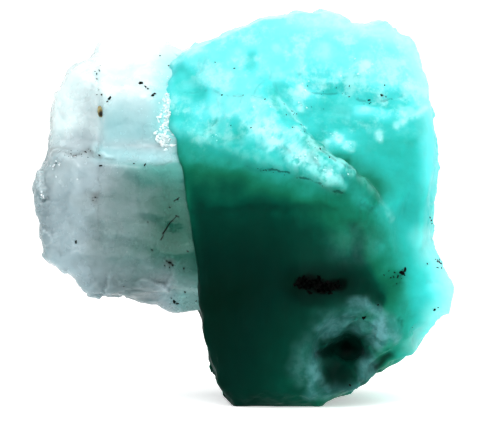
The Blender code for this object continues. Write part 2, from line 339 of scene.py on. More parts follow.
front = ramp(-normals[:, 1], 0.05, 0.35)
lip_height = np.interp(X, [p[0] for p in LIP], [p[1] for p in LIP])
over_lip = ramp(Z, lip_height - 0.4, lip_height + 0.5)
right_of_step = ramp(X, 4.0, 8.0) * ramp(X + 0.75 * (Z - 22.7), 12.0, 13.0)
left_edge = ramp(-X, 3.0, 4.5) * ramp(-Y, -2.0, 2.0)
prism_face = np.maximum(front, left_edge) * (1.0 - over_lip) * (1.0 - ramp(X, 6.5, 10.0)) * ramp(Z, 0.5, 3.0)
smooth_break = front * right_of_step * (1.0 - ramp(Z, 25.0, 28.5))
patchy = ramp(clouds(points, 4.0, 6), -0.35, 0.35)
roughness = (0.35 + 0.65 * patchy) * (1.0 - 0.9 * prism_face) * (1.0 - 0.7 * smooth_break) * (1.0 - 0.5 * front)
print("emerald: mean roughness of the break", round(float(roughness.mean()), 2))

# %% [markdown]
# ## Emerald relief
# Everything is one height for each point, along its normal: a slow swell, large and small facets on the rough
# break, and faint upright lines on the crystal face. The drawn lines then raise the lip and the rim and sink the
# cracks, and the floor of the hollow gets steep facets of its own.

# %% Emerald relief
swell = clouds(points, 5.0, 1) * 0.35
hackly = facets(points, 2.6, 2) * 0.50 + facets(points, 1.1, 3) * 0.24
grain = clouds(points, 0.55, 4) * 0.08
growth_lines = clouds(points * [1.0, 1.0, 0.05], 0.8, 5) * 0.04 * prism_face
height = swell * (0.35 + 0.65 * roughness) + (hackly + grain) * roughness + growth_lines

height += front * (
    0.35 * band(seen, LIP, 1.3)
    + 0.25 * band(seen, STEP_EDGE[3:8], 0.9)
    + 0.30 * patch(seen, WHITE_WEDGE, 0.4)
    - 0.22 * band(seen, UNDER_LIP, 0.7)
    - 0.08 * band(seen, GROWTH_LINE, 0.5)
    - 0.22 * band(seen, SHELF_CRACK, 1.3)
    - 0.06 * band(seen, TOP_CRACK, 0.5)
    - 0.25 * band(seen, CREASE, 1.1)
    + 0.35 * band(seen, RIM, 1.3)
    + 0.25 * band(seen, LEFT_RIM, 1.0)
    - 0.50 * band(seen, PIT_ARMS, 0.8)
    - 0.40 * band(seen, NOTCH, 0.6)
)
in_hollow = front * dab(seen, (10.8, 5.6), 10.0, 12.0)
height += in_hollow * (
    facets(points, 2.6, 7) * 0.55
    + 1.2 * dab(seen, (11.4, 2.8), 6.0, 4.0)
    + 1.0 * dab(seen, (12.6, 8.6), 3.8, 3.8)
    - 0.8 * dab(seen, (10.7, 5.8), 2.6, 2.6)
)
print("emerald: relief from", round(float(height.min()), 2), "to", round(float(height.max()), 2), "mm")

# %% [markdown]
# ## The emerald's outline
# Seen from the front, a crystal is known by its outline before anything else. A few pushes at the right and left
# edges bring it to its real course, such as the bulge on the right, the cut under it and the upright edge at the
# quartz. Then the points move. The foot stays flat, because the stone stands on it, and its worn corners are drawn
# in towards the middle. Last, the lower right edge is smoothed, where a strong push would leave it jagged.

# %% Emerald outline
RIGHT_PUSHES = (
    ((16.6, 5.0), 5.0, 3.8, 0.90), ((20.0, 8.7), 3.0, 2.4, -0.50), ((20.8, 11.8), 3.0, 3.4, 0.25),
    ((12.8, 2.0), 5.0, 3.0, -0.60), ((18.8, 6.6), 4.0, 3.0, 0.30),
)
LEFT_PUSHES = (((-3.2, 4.4), 5.0, 5.0, -0.25), ((-6.2, 29.5), 5.0, 6.0, 0.80))
CORNER_DRAW = 0.9

rightward = ramp(normals[:, 0], 0.3, 0.8)
leftward = ramp(-normals[:, 0], 0.2, 0.8)
height += 0.35 * rightward * ramp(Z, 13.0, 17.0)
for facing, pushes in ((rightward, RIGHT_PUSHES), (leftward, LEFT_PUSHES)):
    for centre, width, tall, amount in pushes:
        height += amount * facing * dab(calm, centre, width, tall)
foot = 1.0 - ramp(Z, 0.0, 0.8)
points += normals * (height * (1.0 - foot))[:, None]
points[:, 2] = np.maximum(points[:, 2], 0.0)
low_down = 1.0 - ramp(Z, 0.2, 2.2)
points[:, 0] += low_down * (CORNER_DRAW * (1.0 - ramp(X, -2.4, 0.8)) - CORNER_DRAW * ramp(X, 5.8, 9.6))
points[:, 0] += 0.18 * (1.0 - ramp(np.abs(Z - 2.8), 0.4, 2.4)) * (1.0 - ramp(X, -3.2, -0.5))
write_points(emerald, points)
smoothed(emerald, dab(calm, (16.8, 5.6), 5.0, 4.0), 8)
smoothed(emerald, dab(calm, (15.0, 4.0), 4.4, 3.6), 16)
print("emerald: outline set by", len(RIGHT_PUSHES) + len(LEFT_PUSHES), "pushes, foot kept flat")

# %% [markdown]
# ## Colour zones of the emerald
# The green isn't the same all through, and the tones here are partly the crystal's own colour and partly painted
# light: the upper part is painted pale and cloudy where light falls on it from above, and low on the left the clear,
# deep crystal is painted nearly black where its front lies in shade. Two lines bound the change: where the green
# starts to deepen, and where it is nearly black. Between them the depth runs from 0 to 1, and it goes on beyond both.
# A few soft strokes then make places lighter or darker: painted light on the right face, and painted shade in the
# hollow, beside the step and under the shelf crack. All of it is stored with the points, because it belongs to this
# one stone.

# %% Emerald depth
GREEN_STARTS = (
    (-7.0, 26.3), (-5.2, 25.6), (-3.2, 25.2), (-1.2, 24.9), (0.8, 24.3), (2.8, 23.8), (4.8, 23.3), (6.8, 22.5),
    (8.8, 21.9), (10.8, 21.5), (12.8, 20.7), (14.0, 19.1), (14.6, 17.6), (15.0, 16.1), (15.4, 14.6), (16.0, 13.1),
    (16.2, 11.6), (16.4, 10.1), (16.2, 8.6), (15.8, 7.1), (15.2, 5.4), (14.4, 3.6),
)
NEARLY_BLACK = (
    (-6.6, 20.6), (-4.6, 20.0), (-3.2, 19.6), (-1.2, 19.6), (0.8, 19.8), (2.8, 19.2), (4.8, 18.6), (6.3, 16.8),
    (7.6, 15.4), (9.3, 14.4), (10.8, 13.8), (11.6, 12.6), (11.0, 11.5), (9.6, 10.8), (8.0, 9.8), (6.8, 8.6),
    (5.8, 7.0), (4.8, 5.4), (4.2, 3.6), (3.6, 1.6), (3.3, -0.2),
)
DEPTH_LOW, DEPTH_HIGH = -1.5, 3.5

from_start = signed_from(calm, GREEN_STARTS)
from_black = signed_from(calm, NEARLY_BLACK)
pale_reach = 3.4 + 2.2 * ramp(Z, 12.0, 16.0) * (1.0 - ramp(Z, 20.0, 25.0))
depth = np.where(
    from_start <= 0.0, from_start / pale_reach,
    np.where(from_black >= 0.0, 1.0 + from_black / 4.2, from_start / np.maximum(from_start - from_black, 0.01)),
)
depth = np.maximum(depth, -1.35)
print("emerald: depth runs over", len(GREEN_STARTS), "and", len(NEARLY_BLACK), "line points")

# %% Lighter and darker places, painted light and shade among them
# Painted light and shade: the right face is painted lighter where the rim light falls on it, and the hollow and the
# spot under its pit are painted darker where they lie in shade.
LIGHT_AND_SHADE_ZONES = (
    (patch(calm, RIGHT_FACE, 1.6) * (1.0 - 0.6 * ramp(X, 16.5, 19.5)), -0.24),
    (dab(calm, (10.4, 5.0), 9.0, 11.0) * 0.85, 1.25),
    (dab(calm, (9.2, 3.4), 5.0, 5.0), 1.75),
)
for where, level in LIGHT_AND_SHADE_ZONES:
    depth += where * (level - depth)
# Several strokes are painted shade: the shadow beside the step in the first two, the shade under the lip and under
# the shelf crack, and the darker floor of the hollow; the rest make places lighter or darker.
TONE_AND_SHADE_STROKES = (
    (band(calm, ((11.0, 24.0), (12.4, 22.8), (13.2, 21.7)), 2.0), 0.56),
    (band(seen, ((5.9, 28.4), (7.4, 26.7), (8.9, 25.7), (10.0, 24.9)), 1.3), 0.58),
    (band(calm, UNDER_LIP[3:], 1.5), 0.15),
    (dab(calm, (4.4, 20.6), 12.0, 2.8), 0.14),
    (dab(calm, (11.3, 31.9), 3.2, 3.4), 0.45),
    (band(calm, RIGHT_FACE[:4], 2.4), 0.10),
    (dab(calm, (8.4, 28.8), 13.0, 5.6), 0.70),
    (dab(calm, (7.3, 26.9), 3.8, 5.6), 0.50),
    (dab(calm, (9.7, 29.1), 3.8, 3.2), 0.85),
    (dab(calm, (10.7, 31.0), 3.0, 5.6), 0.40),
    (band(calm, ((3.0, 31.8), (8.0, 31.8), (12.0, 31.2), (16.4, 31.0)), 2.6), 0.45),
    (dab(calm, (12.0, 30.6), 9.0, 1.8), 0.55),
    (dab(calm, (3.9, 30.6), 3.0, 4.6), 0.55),
    (dab(seen, (0.9, 34.4), 2.4, 3.8), 0.65),
    (dab(calm, (-5.2, 31.6), 5.0, 5.6), 0.90),
    (dab(calm, (-5.6, 28.0), 3.4, 4.6), 0.10),
    (dab(calm, (-2.8, 27.2), 6.4, 3.0), 0.06),
    (dab(seen, (7.6, 25.0), 5.2, 3.0), 0.26),
    (dab(seen, (-1.5, 28.0), 5.4, 3.8), 0.80),
    (dab(calm, (-3.2, 26.4), 7.0, 3.0), 0.08),
    (dab(seen, (15.0, 34.4), 2.4, 2.0), 0.20),
    (dab(seen, (16.8, 27.4), 3.6, 3.6), 0.20),
    (band(seen, ((2.6, 32.6), (4.0, 30.4), (4.9, 28.6)), 1.6), 0.15),
    (band(seen, ((11.0, 29.6), (13.0, 29.8)), 0.9), -0.35),
    (band(seen, CREASE, 1.2), 0.22),
    (band(seen, GROWTH_LINE, 0.7), 0.12),
    (band(seen, MICA_STREAK, 2.6), 1.2),
    (band(calm, CONTACT, 1.4) * (1.0 - ramp(Z, 20.5, 23.0)), -0.60),
    (band(calm, ((9.2, 31.2), (12.8, 30.9), (16.2, 31.0)), 1.5), 0.45),
    (dab(calm, (-4.0, 23.6), 5.0, 2.4), 0.10),
    (dab(calm, (9.6, 13.8), 9.0, 3.6), 0.40),
    (patch(seen, HOLLOW_FLOOR, 0.5), 0.30),
    (dab(seen, (13.6, 10.8), 1.6, 2.4), 0.50),
    (dab(calm, (-1.6, 22.6), 6.4, 3.6), 0.22),
    (dab(calm, (9.0, 17.6), 10.0, 14.0), 0.12),
    (dab(calm, (11.8, 12.2), 5.6, 4.2), 0.7),
    (dab(calm, (14.6, 12.2), 4.6, 4.6), 0.22),
    (band(calm, ((21.0, 9.6), (17.0, 5.6), (13.4, 2.6)), 3.6), 0.30),
    (dab(seen, (10.3, 16.8), 3.6, 4.4), -0.20),
    (dab(seen, (13.0, 16.0), 2.8, 3.6), -0.20),
)
for where, amount in TONE_AND_SHADE_STROKES:
    depth += where * amount
# The top is capped pale: painted light, where the upper faces catch the light from above.
depth = np.minimum(depth, 0.10 - 0.70 * ramp(Z, 25.2, 28.2) + 9.0 * (1.0 - ramp(Z, 22.5, 25.0)))
depth += clouds(points, 2.2, 21) * 0.10 + clouds(points, 4.2, 23) * 0.22 * ramp(Z, 24.0, 28.0)
print("emerald: depth from", round(float(depth.min()), 2), "to", round(float(depth.max()), 2))

# %% [markdown]
# ## Clouds, crushed places, stains, painted shade and painted light
# Over the green lie three more things, each with its own mask. Grey-green clouds make the pale rim of the hollow,
# where the crystal is full of tiny bubbles. Crushed places are nearly white, and gather along the lip and on the
# wedge beside the step. The third mask is nearly black: real stain round the mica, and painted shade in the pit, in
# its arms, in the notch and in the hollow under it, where little light gets in. Two more fields of wandered points
# keep them from looking brushed on: a wild one for clouds and the dark mask, and a ragged one for the white patches,
# which have small torn edges. A whitened edge follows the top and the right side: painted light, where the crystal
# is thin enough to let the light behind it through and where its faces look up at the light.

# %% Emerald clouds
wild = wandered(points, 1.4, 0.55, 4)
ragged = wandered(points, 0.8, 0.40, 6)
cloudy = np.maximum.reduce([
    band(wild, RIM, 1.2) * 0.50,
    band(wild, RIM[4:], 1.1) * 0.75,
    band(wild, LEFT_RIM, 1.3) * 0.70,
    dab(wild, (9.6, 8.8), 7.2, 5.2) * 0.26,
    dab(wild, (6.8, 5.2), 4.8, 7.6) * 0.26,
    dab(wild, (13.9, 8.0), 3.6, 5.2),
    dab(wild, (13.6, 6.9), 3.0, 3.4) * 0.85,
    dab(wild, (12.5, 4.0), 3.4, 4.8) * 0.60,
    dab(wild, (10.8, 2.0), 5.4, 2.6) * 0.42,
    dab(wild, (12.1, 8.2), 4.0, 3.6) * 0.55,
    dab(wild, (8.8, 8.0), 4.6, 4.6) * 0.55,
    dab(wild, (11.2, 10.6), 3.4, 2.4) * 0.45,
    dab(wild, (6.2, 4.2), 4.0, 6.0) * 0.30,
    dab(wild, (8.2, 1.6), 4.0, 2.2) * 0.45,
    dab(seen, (11.2, 16.6), 8.0, 6.0) * 0.16,
])
cloudy *= 1.0 - 0.85 * patch(ragged, HOLLOW_FLOOR, 0.4)
paint(emerald, "depth", (depth - DEPTH_LOW) / (DEPTH_HIGH - DEPTH_LOW))
paint(emerald, "cloudy", front * cloudy)
print("emerald:", int((front * cloudy > 0.5).sum()), "points under a thick cloud")

# %% Crushed places
WHITE_PATCHES = (
    ((-1.5, 32.6), 2.2, 3.2, 0.55), ((-2.6, 29.8), 1.6, 3.8, 0.45), ((6.0, 34.0), 1.4, 3.0, 0.30),
    ((6.0, 31.4), 1.7, 2.2, 1.00), ((5.9, 29.9), 1.2, 1.6, 0.70), ((6.1, 27.9), 0.9, 1.2, 0.80),
    ((9.8, 33.3), 1.2, 1.5, 0.60), ((12.4, 33.9), 2.6, 3.0, 0.80), ((16.8, 32.4), 2.0, 1.8, 0.60),
    ((-0.4, 30.1), 4.6, 3.0, 0.25), ((1.7, 30.2), 3.2, 2.6, 0.35), ((2.4, 27.8), 3.8, 3.2, 1.00),
    ((3.2, 26.6), 3.0, 2.4, 0.90), ((-0.6, 26.4), 3.6, 2.2, 0.15), ((5.8, 25.2), 3.0, 2.8, 1.00),
    ((8.8, 23.8), 2.4, 2.0, 0.90), ((-4.1, 27.1), 2.6, 2.2, 0.30), ((-0.2, 35.1), 2.4, 2.2, 0.30),
    ((9.6, 27.0), 1.8, 1.6, 0.90), ((10.6, 26.2), 2.0, 1.4, 0.60), ((8.6, 26.6), 1.4, 1.2, 0.50),
    ((12.4, 29.6), 1.8, 1.0, 0.35), ((13.8, 27.2), 1.4, 2.0, 0.55), ((17.0, 29.4), 2.6, 1.8, 0.45),
    ((3.4, 33.2), 2.0, 2.4, 0.25), ((8.3, 35.6), 3.2, 2.8, 0.40), ((16.4, 29.8), 2.2, 1.2, 0.30),
    ((3.8, 35.9), 2.4, 2.0, 0.30), ((12.7, 35.0), 2.0, 1.8, 0.35), ((-4.6, 35.8), 3.6, 1.4, 0.70),
)
crushed = np.maximum.reduce([
    patch(seen, WHITE_WEDGE, 0.6) * 0.50,
    band(seen, STEP_EDGE[:8], 0.7) * 0.5,
    band(seen, STEP_EDGE[7:], 0.6) * 0.15,
    band(wild, ((0.8, 28.2), (2.4, 27.6), (4.6, 26.4), (5.8, 25.0)), 1.8) * 0.7,
    band(seen, LIP, 1.0) * 0.15,
    band(seen, BRIGHT_LINE, 0.6) * 0.6,
] + [dab(ragged, centre, width, tall) * amount for centre, width, tall, amount in WHITE_PATCHES])
paint(emerald, "crushed", front * crushed)
print("emerald:", len(WHITE_PATCHES), "white patches")

# %% Stains and painted shade, sugar, and painted edge light
# Painted shade and real stain in one mask: the pit, its arms, the notch and the spot under the pit are painted dark
# where shade falls in the hollow; the streak and the spot beside it are stain round the mica.
stain_and_shade = np.maximum.reduce([
    dab(wild, (10.6, 5.8), 2.6, 2.6) ** 1.2,
    band(wild, PIT_ARMS, 0.8) * 0.50,
    band(wild, NOTCH, 0.8) * 0.75,
    dab(wild, (9.6, 3.2), 4.0, 4.0) * 0.35,
    dab(ragged, (10.4, 6.0), 2.0, 2.4) ** 0.8,
    ramp(band(wild, MICA_STREAK, 1.15), 0.0, 0.7),
    dab(wild, (6.4, 11.4), 6.0, 3.0) * 0.35,
])
valley = np.maximum.reduce([
    dab(calm, (9.4, 29.4), 11.0, 5.0),
    band(calm, ((2.2, 33.0), (4.0, 30.6), (5.2, 28.6)), 1.4),
    dab(calm, (-5.2, 31.2), 4.6, 5.6),
    dab(calm, (-1.9, 28.2), 2.4, 2.8),
    dab(calm, (0.9, 34.4), 2.2, 3.4),
    patch(calm, RIGHT_FACE, 1.0),
])
paint(emerald, "sugary", ramp(Z, 24.0, 29.0) * (1.0 - 0.8 * valley))
paint(emerald, "stain_and_shade", front * stain_and_shade)
# Painted light: the upward faces and thin edges are whitened, where the light from above and behind would shine
# through the crystal.
paint(emerald, "painted_edge_light", np.maximum.reduce([
    ramp(normals[:, 2], 0.70, 0.98) * ramp(Z, 31.0, 36.0),
    band(seen, TOP_OUTLINE, 2.0) * ramp(X, 2.0, 9.0) * (0.25 + 0.55 * ramp(Z, 26.0, 33.0)),
    band(seen, BULGE_OUTLINE, 2.6) * 0.55,
    band(seen, ((19.6, 8.8), (18.4, 7.4), (17.4, 6.0)), 1.8) * 0.45,
    dab(calm, (19.2, 15.6), 4.0, 4.0) * 0.5,
]))
print("emerald:", int((front * stain_and_shade > 0.5).sum()), "points stained dark")

# %% [markdown]
# ## Cracks
# A crack is a hair wide, and the mesh has a point only every quarter of a millimetre. So the mesh stores the
# distance from the nearest crack instead of the crack. The distance changes evenly from point to point, and the
# material can draw a line of any width where it is close to zero.

# %% Emerald cracks
CRACK_REACH = 1.0
CRACK_EDGE = (0.35, 0.8)


def paint_cracks(obj, seen, facing, cracks):
    """Two numbers per point: where a crack may show, and the signed distance from its line."""
    zone = np.zeros(len(seen))
    distance = np.full(len(seen), CRACK_REACH)
    for line, strength in cracks:
        from_line = signed_from(seen, line)
        distance = np.where(np.abs(from_line) < np.abs(distance), from_line, distance)
        zone = np.maximum(zone, (1.0 - ramp(np.abs(from_line), *CRACK_EDGE)) * strength)
    paint(obj, "crack_zone", zone * facing)
    paint(obj, "crack_line", 0.5 + 0.5 * distance / CRACK_REACH)
    print(obj.name, "has", len(cracks), "cracks")


paint_cracks(emerald, seen, front, (
    (UNDER_LIP, 0.6), (TOP_CRACK, 0.14), (SHELF_CRACK, 0.25), (STEP_EDGE[4:8], 0.35), (GROWTH_LINE, 0.22)
))

# %% [markdown]
# ## The quartz
# The matrix is rounder than the emerald, with glassy chips along its outer edges. Left of the emerald it has a
# squared pane with a lip under it, and a seam runs down beside the pane. Where the quartz grew against the emerald
# the two touch, so the narrow gap that the solids keep is closed by drawing the nearest quartz points over.

# %% Lines on the quartz
SEAM = ((-14.8, 34.0), (-14.7, 32.6), (-14.4, 30.6), (-14.4, 28.1), (-14.5, 25.8))
LOWER_SEAM = ((-14.4, 25.1), (-14.4, 21.6), (-14.4, 18.4), (-14.6, 15.8))
SHOULDER_FOOT = ((-19.4, 25.5), (-18.0, 25.5), (-16.7, 25.3), (-15.5, 25.4), (-14.3, 25.2))
PANE_LIP = ((-14.3, 25.5), (-12.2, 25.2), (-9.7, 24.9), (-7.0, 24.8))
PANE_LIP_FOOT = ((-14.3, 25.0), (-12.2, 24.6), (-9.7, 24.3), (-7.0, 24.3))
PANE = ((-14.1, 30.7), (-9.0, 31.2), (-8.2, 29.6), (-8.6, 26.3), (-14.1, 26.2))
print("quartz: the pane is about", round(PANE[1][0] - PANE[0][0], 1), "mm wide")

# %% [markdown]
# ## Quartz relief
# The same tools with other numbers: broad glassy facets along the outer edges, and next to nothing on the pane. The
# seams are sunk a tenth of a millimetre, enough to catch a shadow. The moved points are kept back until the contact
# with the emerald is closed.

# %% Quartz relief
quartz = fine_copy("quartz_matrix", "quartz", QUARTZ_VOXEL)
q_points, q_normals = read_points(quartz)
QX, QY, QZ = q_points.T
q_seen = wandered(q_points, 1.4, 0.35, 3)
q_calm = wandered(q_points, 2.5, 0.15, 5)

q_front = ramp(-q_normals[:, 1], 0.05, 0.35)
pane = q_front * patch(q_calm, PANE, 1.0) * (1.0 - 0.45 * ramp(QZ, 28.0, 31.0))
outer_edge = np.maximum(1.0 - ramp(QX, -20.4, -18.4), 1.0 - ramp(QZ, 11.5, 14.0))
q_rough = (0.45 + 0.35 * outer_edge) * (1.0 - 0.9 * pane) * (1.0 - 0.70 * q_front * (1.0 - outer_edge))
q_height = (
    clouds(q_points, 4.5, 11) * (0.30 - 0.15 * q_front)
    + (facets(q_points, 2.8, 15) * 0.55 + facets(q_points, 1.3, 13) * 0.16) * q_rough
)
q_height += q_front * (
    -0.12 * band(q_calm, SEAM, 0.5)
    - 0.05 * band(q_calm, LOWER_SEAM, 0.5)
    - 0.08 * band(q_calm, PANE_LIP_FOOT, 0.6)
    - 0.06 * band(q_calm, SHOULDER_FOOT, 0.9)
    + 0.05 * band(q_calm, PANE_LIP, 0.8)
)
q_leftward = ramp(-q_normals[:, 0], 0.2, 0.7)
q_height -= q_leftward * 0.4 * dab(q_calm, (-19.8, 23.6), 4.0, 5.0)
q_height += 0.2 * ramp(-q_normals[:, 2], 0.2, 0.7) * dab(q_calm, (-15.0, 11.4), 5.0, 3.0)
q_points += q_normals * q_height[:, None]
print("quartz: relief from", round(float(q_height.min()), 2), "to", round(float(q_height.max()), 2), "mm")

# %% [markdown]
# ## Close the contact
# Each quartz point near the emerald moves towards a target just under the emerald's skin, the more the closer it
# already is. The quartz then meets the crystal like a mould, with no slot between them. The step that the pull
# leaves in the quartz is smoothed. How close a point is also gets painted on both stones. Light spreads inside the
# material, and near the contact it would average in a hidden, unlit surface and draw a black line there, so the
# spreading is turned off where this number is high. A narrower number is painted light: it lifts the emerald's dark
# face in a thin band beside the pale quartz, so that the shade in the crease doesn't end it in a black rim.

# %% Close the contact
NOTICE_REACH = 2.5
PULL_REACH = 1.8
UNDER_SKIN = 0.15
QUARTZ_ENDS = 3.0

quartz_before = BVHTree.FromObject(quartz, bpy.context.evaluated_depsgraph_get())
near_quartz = np.zeros(len(points))
for number, point in enumerate(points):
    if X[number] < QUARTZ_ENDS:
        found, _, _, distance = quartz_before.find_nearest(Vector(point) * MM, NOTICE_REACH * MM)
        if found is not None:
            near_quartz[number] = 1.0 - distance / MM / NOTICE_REACH
paint(emerald, "contact", near_quartz * 1.8)
# Painted light: a thin band of the emerald's face beside the quartz, lifted against the shade in the crease.
paint(emerald, "painted_contact_lift", ramp(near_quartz, 0.72, 0.88))

emerald_tree = BVHTree.FromObject(emerald, bpy.context.evaluated_depsgraph_get())
near_emerald = np.zeros(len(q_points))
for number, point in enumerate(q_points):
    found, outward, _, distance = emerald_tree.find_nearest(Vector(point) * MM, PULL_REACH * MM)
    if found is not None:
        target = (np.array(found) - np.array(outward) * UNDER_SKIN * MM) / MM
        share = math.sqrt(1.0 - (distance / MM / PULL_REACH) ** 2)
        q_points[number] += (target - point) * share
        near_emerald[number] = share
paint(quartz, "contact", near_emerald * 1.5)
write_points(quartz, q_points)
smoothed(quartz, ramp(near_emerald, 0.02, 0.35) * (1.0 - ramp(near_emerald, 0.80, 0.95)), 8)
quartz_tree = BVHTree.FromObject(quartz, bpy.context.evaluated_depsgraph_get())
print("quartz:", int((near_emerald > 0.0).sum()), "points drawn over to the emerald")

# %% [markdown]
# ## Veils in the quartz
# Milky quartz is grey where it is deep and white where it is thin or full of cracks. One number, the veil, runs
# from white to green-grey: it grows from left to right, and it jumps at the lip under the pane. Above the lip it
# fades to white towards the top, which is painted light, as the light falls on the quartz from above. Other masks
# hold the blue pane, the aqua tint beside the emerald, and a few stains with painted shade under the shoulder. One
# more follows the contact, wider towards the foot, where the emerald's green shows through the quartz.

# %% Quartz veils
left_to_right = np.interp(QX, (-19, -17, -15.4, -13.8, -12.2, -10.6, -9, -7.4, -5.8), (
    0.42, 0.47, 0.56, 0.65, 0.71, 0.77, 0.83, 0.88, 0.90
))
low_glow = (1.0 - ramp(QZ, 10.5, 15.5)) * (0.12 + 0.26 * ramp(QX, -12.0, -7.0))
low_glow += 0.12 * (1.0 - ramp(QZ, 11.4, 13.6)) * ramp(QX, -10.5, -7.5)
lip_foot = np.interp(QX, [p[0] for p in PANE_LIP_FOOT], [p[1] for p in PANE_LIP_FOOT], left=25.3)
below_lip = 1.0 - ramp(q_calm[:, 1], lip_foot - 0.3, lip_foot + 0.4)
# Painted light: whiter towards the top above the lip, and whiter again at the far left, where light falls from above.
above = np.interp(QZ, (24.5, 26.5, 28.0, 30.5, 33.0, 35.0), (0.46, 0.29, 0.17, 0.11, 0.07, 0.0))
above -= 0.14 * (1.0 - ramp(QX, -19.4, -15.8))
veil = below_lip * (left_to_right - low_glow - 0.14 * ramp(QZ, 20.5, 23.5)) + (1.0 - below_lip) * above
veil += clouds(q_points, 1.8, 22) * 0.05
paint(quartz, "veil", veil)
paint(quartz, "pane", np.maximum.reduce([
    pane, q_front * band(q_calm, PANE_LIP, 1.7), dab(q_calm, (-6.9, 10.6), 5.0, 2.6) * 0.55
]))
paint(quartz, "clear", outer_edge)
white_edge = dab(q_calm, (-7.7, 29.4), 2.6, 7.0)
paint(quartz, "aqua", (
    (1.0 - below_lip) * ramp(QX, -10.0, -7.2) * ramp(QZ, 25.6, 27.4) * (1.0 - 0.35 * ramp(QZ, 31.0, 34.0))
    * (1.0 - 0.6 * ramp(QZ, 34.2, 35.6)) * (1.0 - 0.8 * white_edge)
))
from_contact = np.abs(signed_from(q_calm, CONTACT))
green_reach = np.interp(QZ, (10.0, 13.0, 16.0, 26.0), (3.6, 3.0, 2.2, 1.8))
paint(quartz, "greened", np.maximum.reduce([
    below_lip * 0.95 * ramp(QX, -14.5, -7.0) * ramp(QZ, 20.0, 23.0),
    below_lip * 0.90 * ramp(QX, -10.4, -6.8) * ramp(QZ, 13.5, 17.5),
    0.95 * (1.0 - ramp(from_contact, 0.15 * green_reach, green_reach)) * (1.0 - ramp(QZ, 25.6, 27.6)),
]))
# Painted shade and real stain: the bands along and under the shoulder's foot are painted shade under its ledge, and
# the two spots are stain round micas.
paint(quartz, "stain_and_shade", q_front * np.maximum.reduce([
    band(q_seen, SHOULDER_FOOT, 0.5) * 0.4,
    band(q_calm, ((-18.4, 24.4), (-15.0, 24.4)), 1.4) * 0.14,
    dab(q_seen, (-14.8, 20.9), 1.4, 2.0) * 0.4,
    dab(q_seen, (-7.3, 14.3), 1.6, 1.2) * 0.4,
]))
print("quartz: veil from", round(float(veil.min()), 2), "to", round(float(veil.max()), 2))
paint_cracks(quartz, q_seen, q_front, (
    (SEAM, 0.2), (LOWER_SEAM, 0.15), (PANE_LIP_FOOT, 0.2), (SHOULDER_FOOT, 0.22)
))

# %% [markdown]
# ## Materials
# Both stones use the same plan. The masks decide where a colour goes, noise at three scales decides how ragged its
# border is, and the Principled shader does the rest with a little subsurface scattering. The helpers below keep a
# node tree readable: each adds one node and returns the socket that the next one needs.

# %% Node helpers
BUMP_HEIGHT = 0.12 * MM


def new_material(name):
    made = bpy.data.materials.new(name)
    made.use_nodes = True
    return made, made.node_tree, made.node_tree.nodes["Principled BSDF"]


def fill(tree, made, values):
    """Fills a node's inputs, by name or number: another node's output is linked, and a plain value is set."""
    for key, value in values:
        socket = made.inputs[key]
        if isinstance(value, bpy.types.NodeSocket):
            tree.links.new(value, socket)
        elif socket.type == "RGBA" and len(value) == 3:
            socket.default_value = (*value, 1.0)
        else:
            socket.default_value = value


def node(tree, kind, values=(), **settings):
    """Adds a node, sets its properties, then fills its inputs."""
    made = tree.nodes.new(kind)
    for key, value in settings.items():
        setattr(made, key, value)
    fill(tree, made, values)
    return made


def mix(tree, factor, first, second, blend="MIX"):
    values = ((0, factor), (6, first), (7, second))
    return node(tree, "ShaderNodeMix", values, data_type="RGBA", blend_type=blend).outputs[2]


def noise_value(tree, place, size_mm, detail=4.0, roughness=0.55):
    return node(tree, "ShaderNodeTexNoise", (
        ("Vector", place), ("Scale", 1.0 / (size_mm * MM)), ("Detail", detail), ("Roughness", roughness)
    )).outputs["Fac"]


def map_range(tree, value, low, high, to_low=0.0, to_high=1.0):
    return node(tree, "ShaderNodeMapRange", (
        ("Value", value), ("From Min", low), ("From Max", high), ("To Min", to_low), ("To Max", to_high)
    ), interpolation_type="SMOOTHSTEP").outputs["Result"]


def math_node(tree, operation, first, second):
    return node(tree, "ShaderNodeMath", ((0, first), (1, second)), operation=operation).outputs[0]


def stirred(tree, value, noise_socket, amount):
    """A value that a noise moves up and down a little."""
    wander = math_node(tree, "SUBTRACT", noise_socket, 0.5)
    return math_node(tree, "ADD", value, math_node(tree, "MULTIPLY", wander, amount))


def uneven_gloss(tree, place, size_mm, low, high):
    """A roughness that changes from place to place between two values."""
    return map_range(tree, noise_value(tree, place, size_mm), 0.3, 0.7, low, high)


def fine_bump(tree, place, strength, size_mm, detail, roughness):
    return node(tree, "ShaderNodeBump", (
        ("Strength", strength), ("Distance", BUMP_HEIGHT),
        ("Height", noise_value(tree, place, size_mm, detail, roughness)),
    )).outputs[0]


def painted(tree, name):
    return node(tree, "ShaderNodeAttribute", attribute_name=name).outputs["Fac"]


def colour_ramp(tree, value, stops):
    made = node(tree, "ShaderNodeValToRGB", (("Fac", value),))
    elements = made.color_ramp.elements
    while len(elements) < len(stops):
        elements.new(0.5)
    for element, (place, colour) in zip(elements, stops):
        element.position = place
        element.color = (*colour, 1.0)
    return made.outputs["Color"]


print("node helpers: each adds a node or two and returns a socket")


# %% Crack and ball masks
def crack_mask(tree, place, width_mm, breaks):
    """A fine wandering line along the painted cracks, broken up where the noise is low."""
    away = math_node(tree, "SUBTRACT", painted(tree, "crack_line"), 0.5)
    away = stirred(tree, away, noise_value(tree, place, 0.9, 4.0, 0.6), 0.35)
    away = math_node(tree, "ABSOLUTE", away, 0.0)
    line = map_range(tree, away, 0.25 * width_mm, width_mm, 1.0, 0.0)
    broken = map_range(tree, noise_value(tree, place, 1.3, 3.0), breaks, breaks + 0.12)
    return math_node(tree, "MULTIPLY", math_node(tree, "MULTIPLY", line, broken), painted(tree, "crack_zone"))


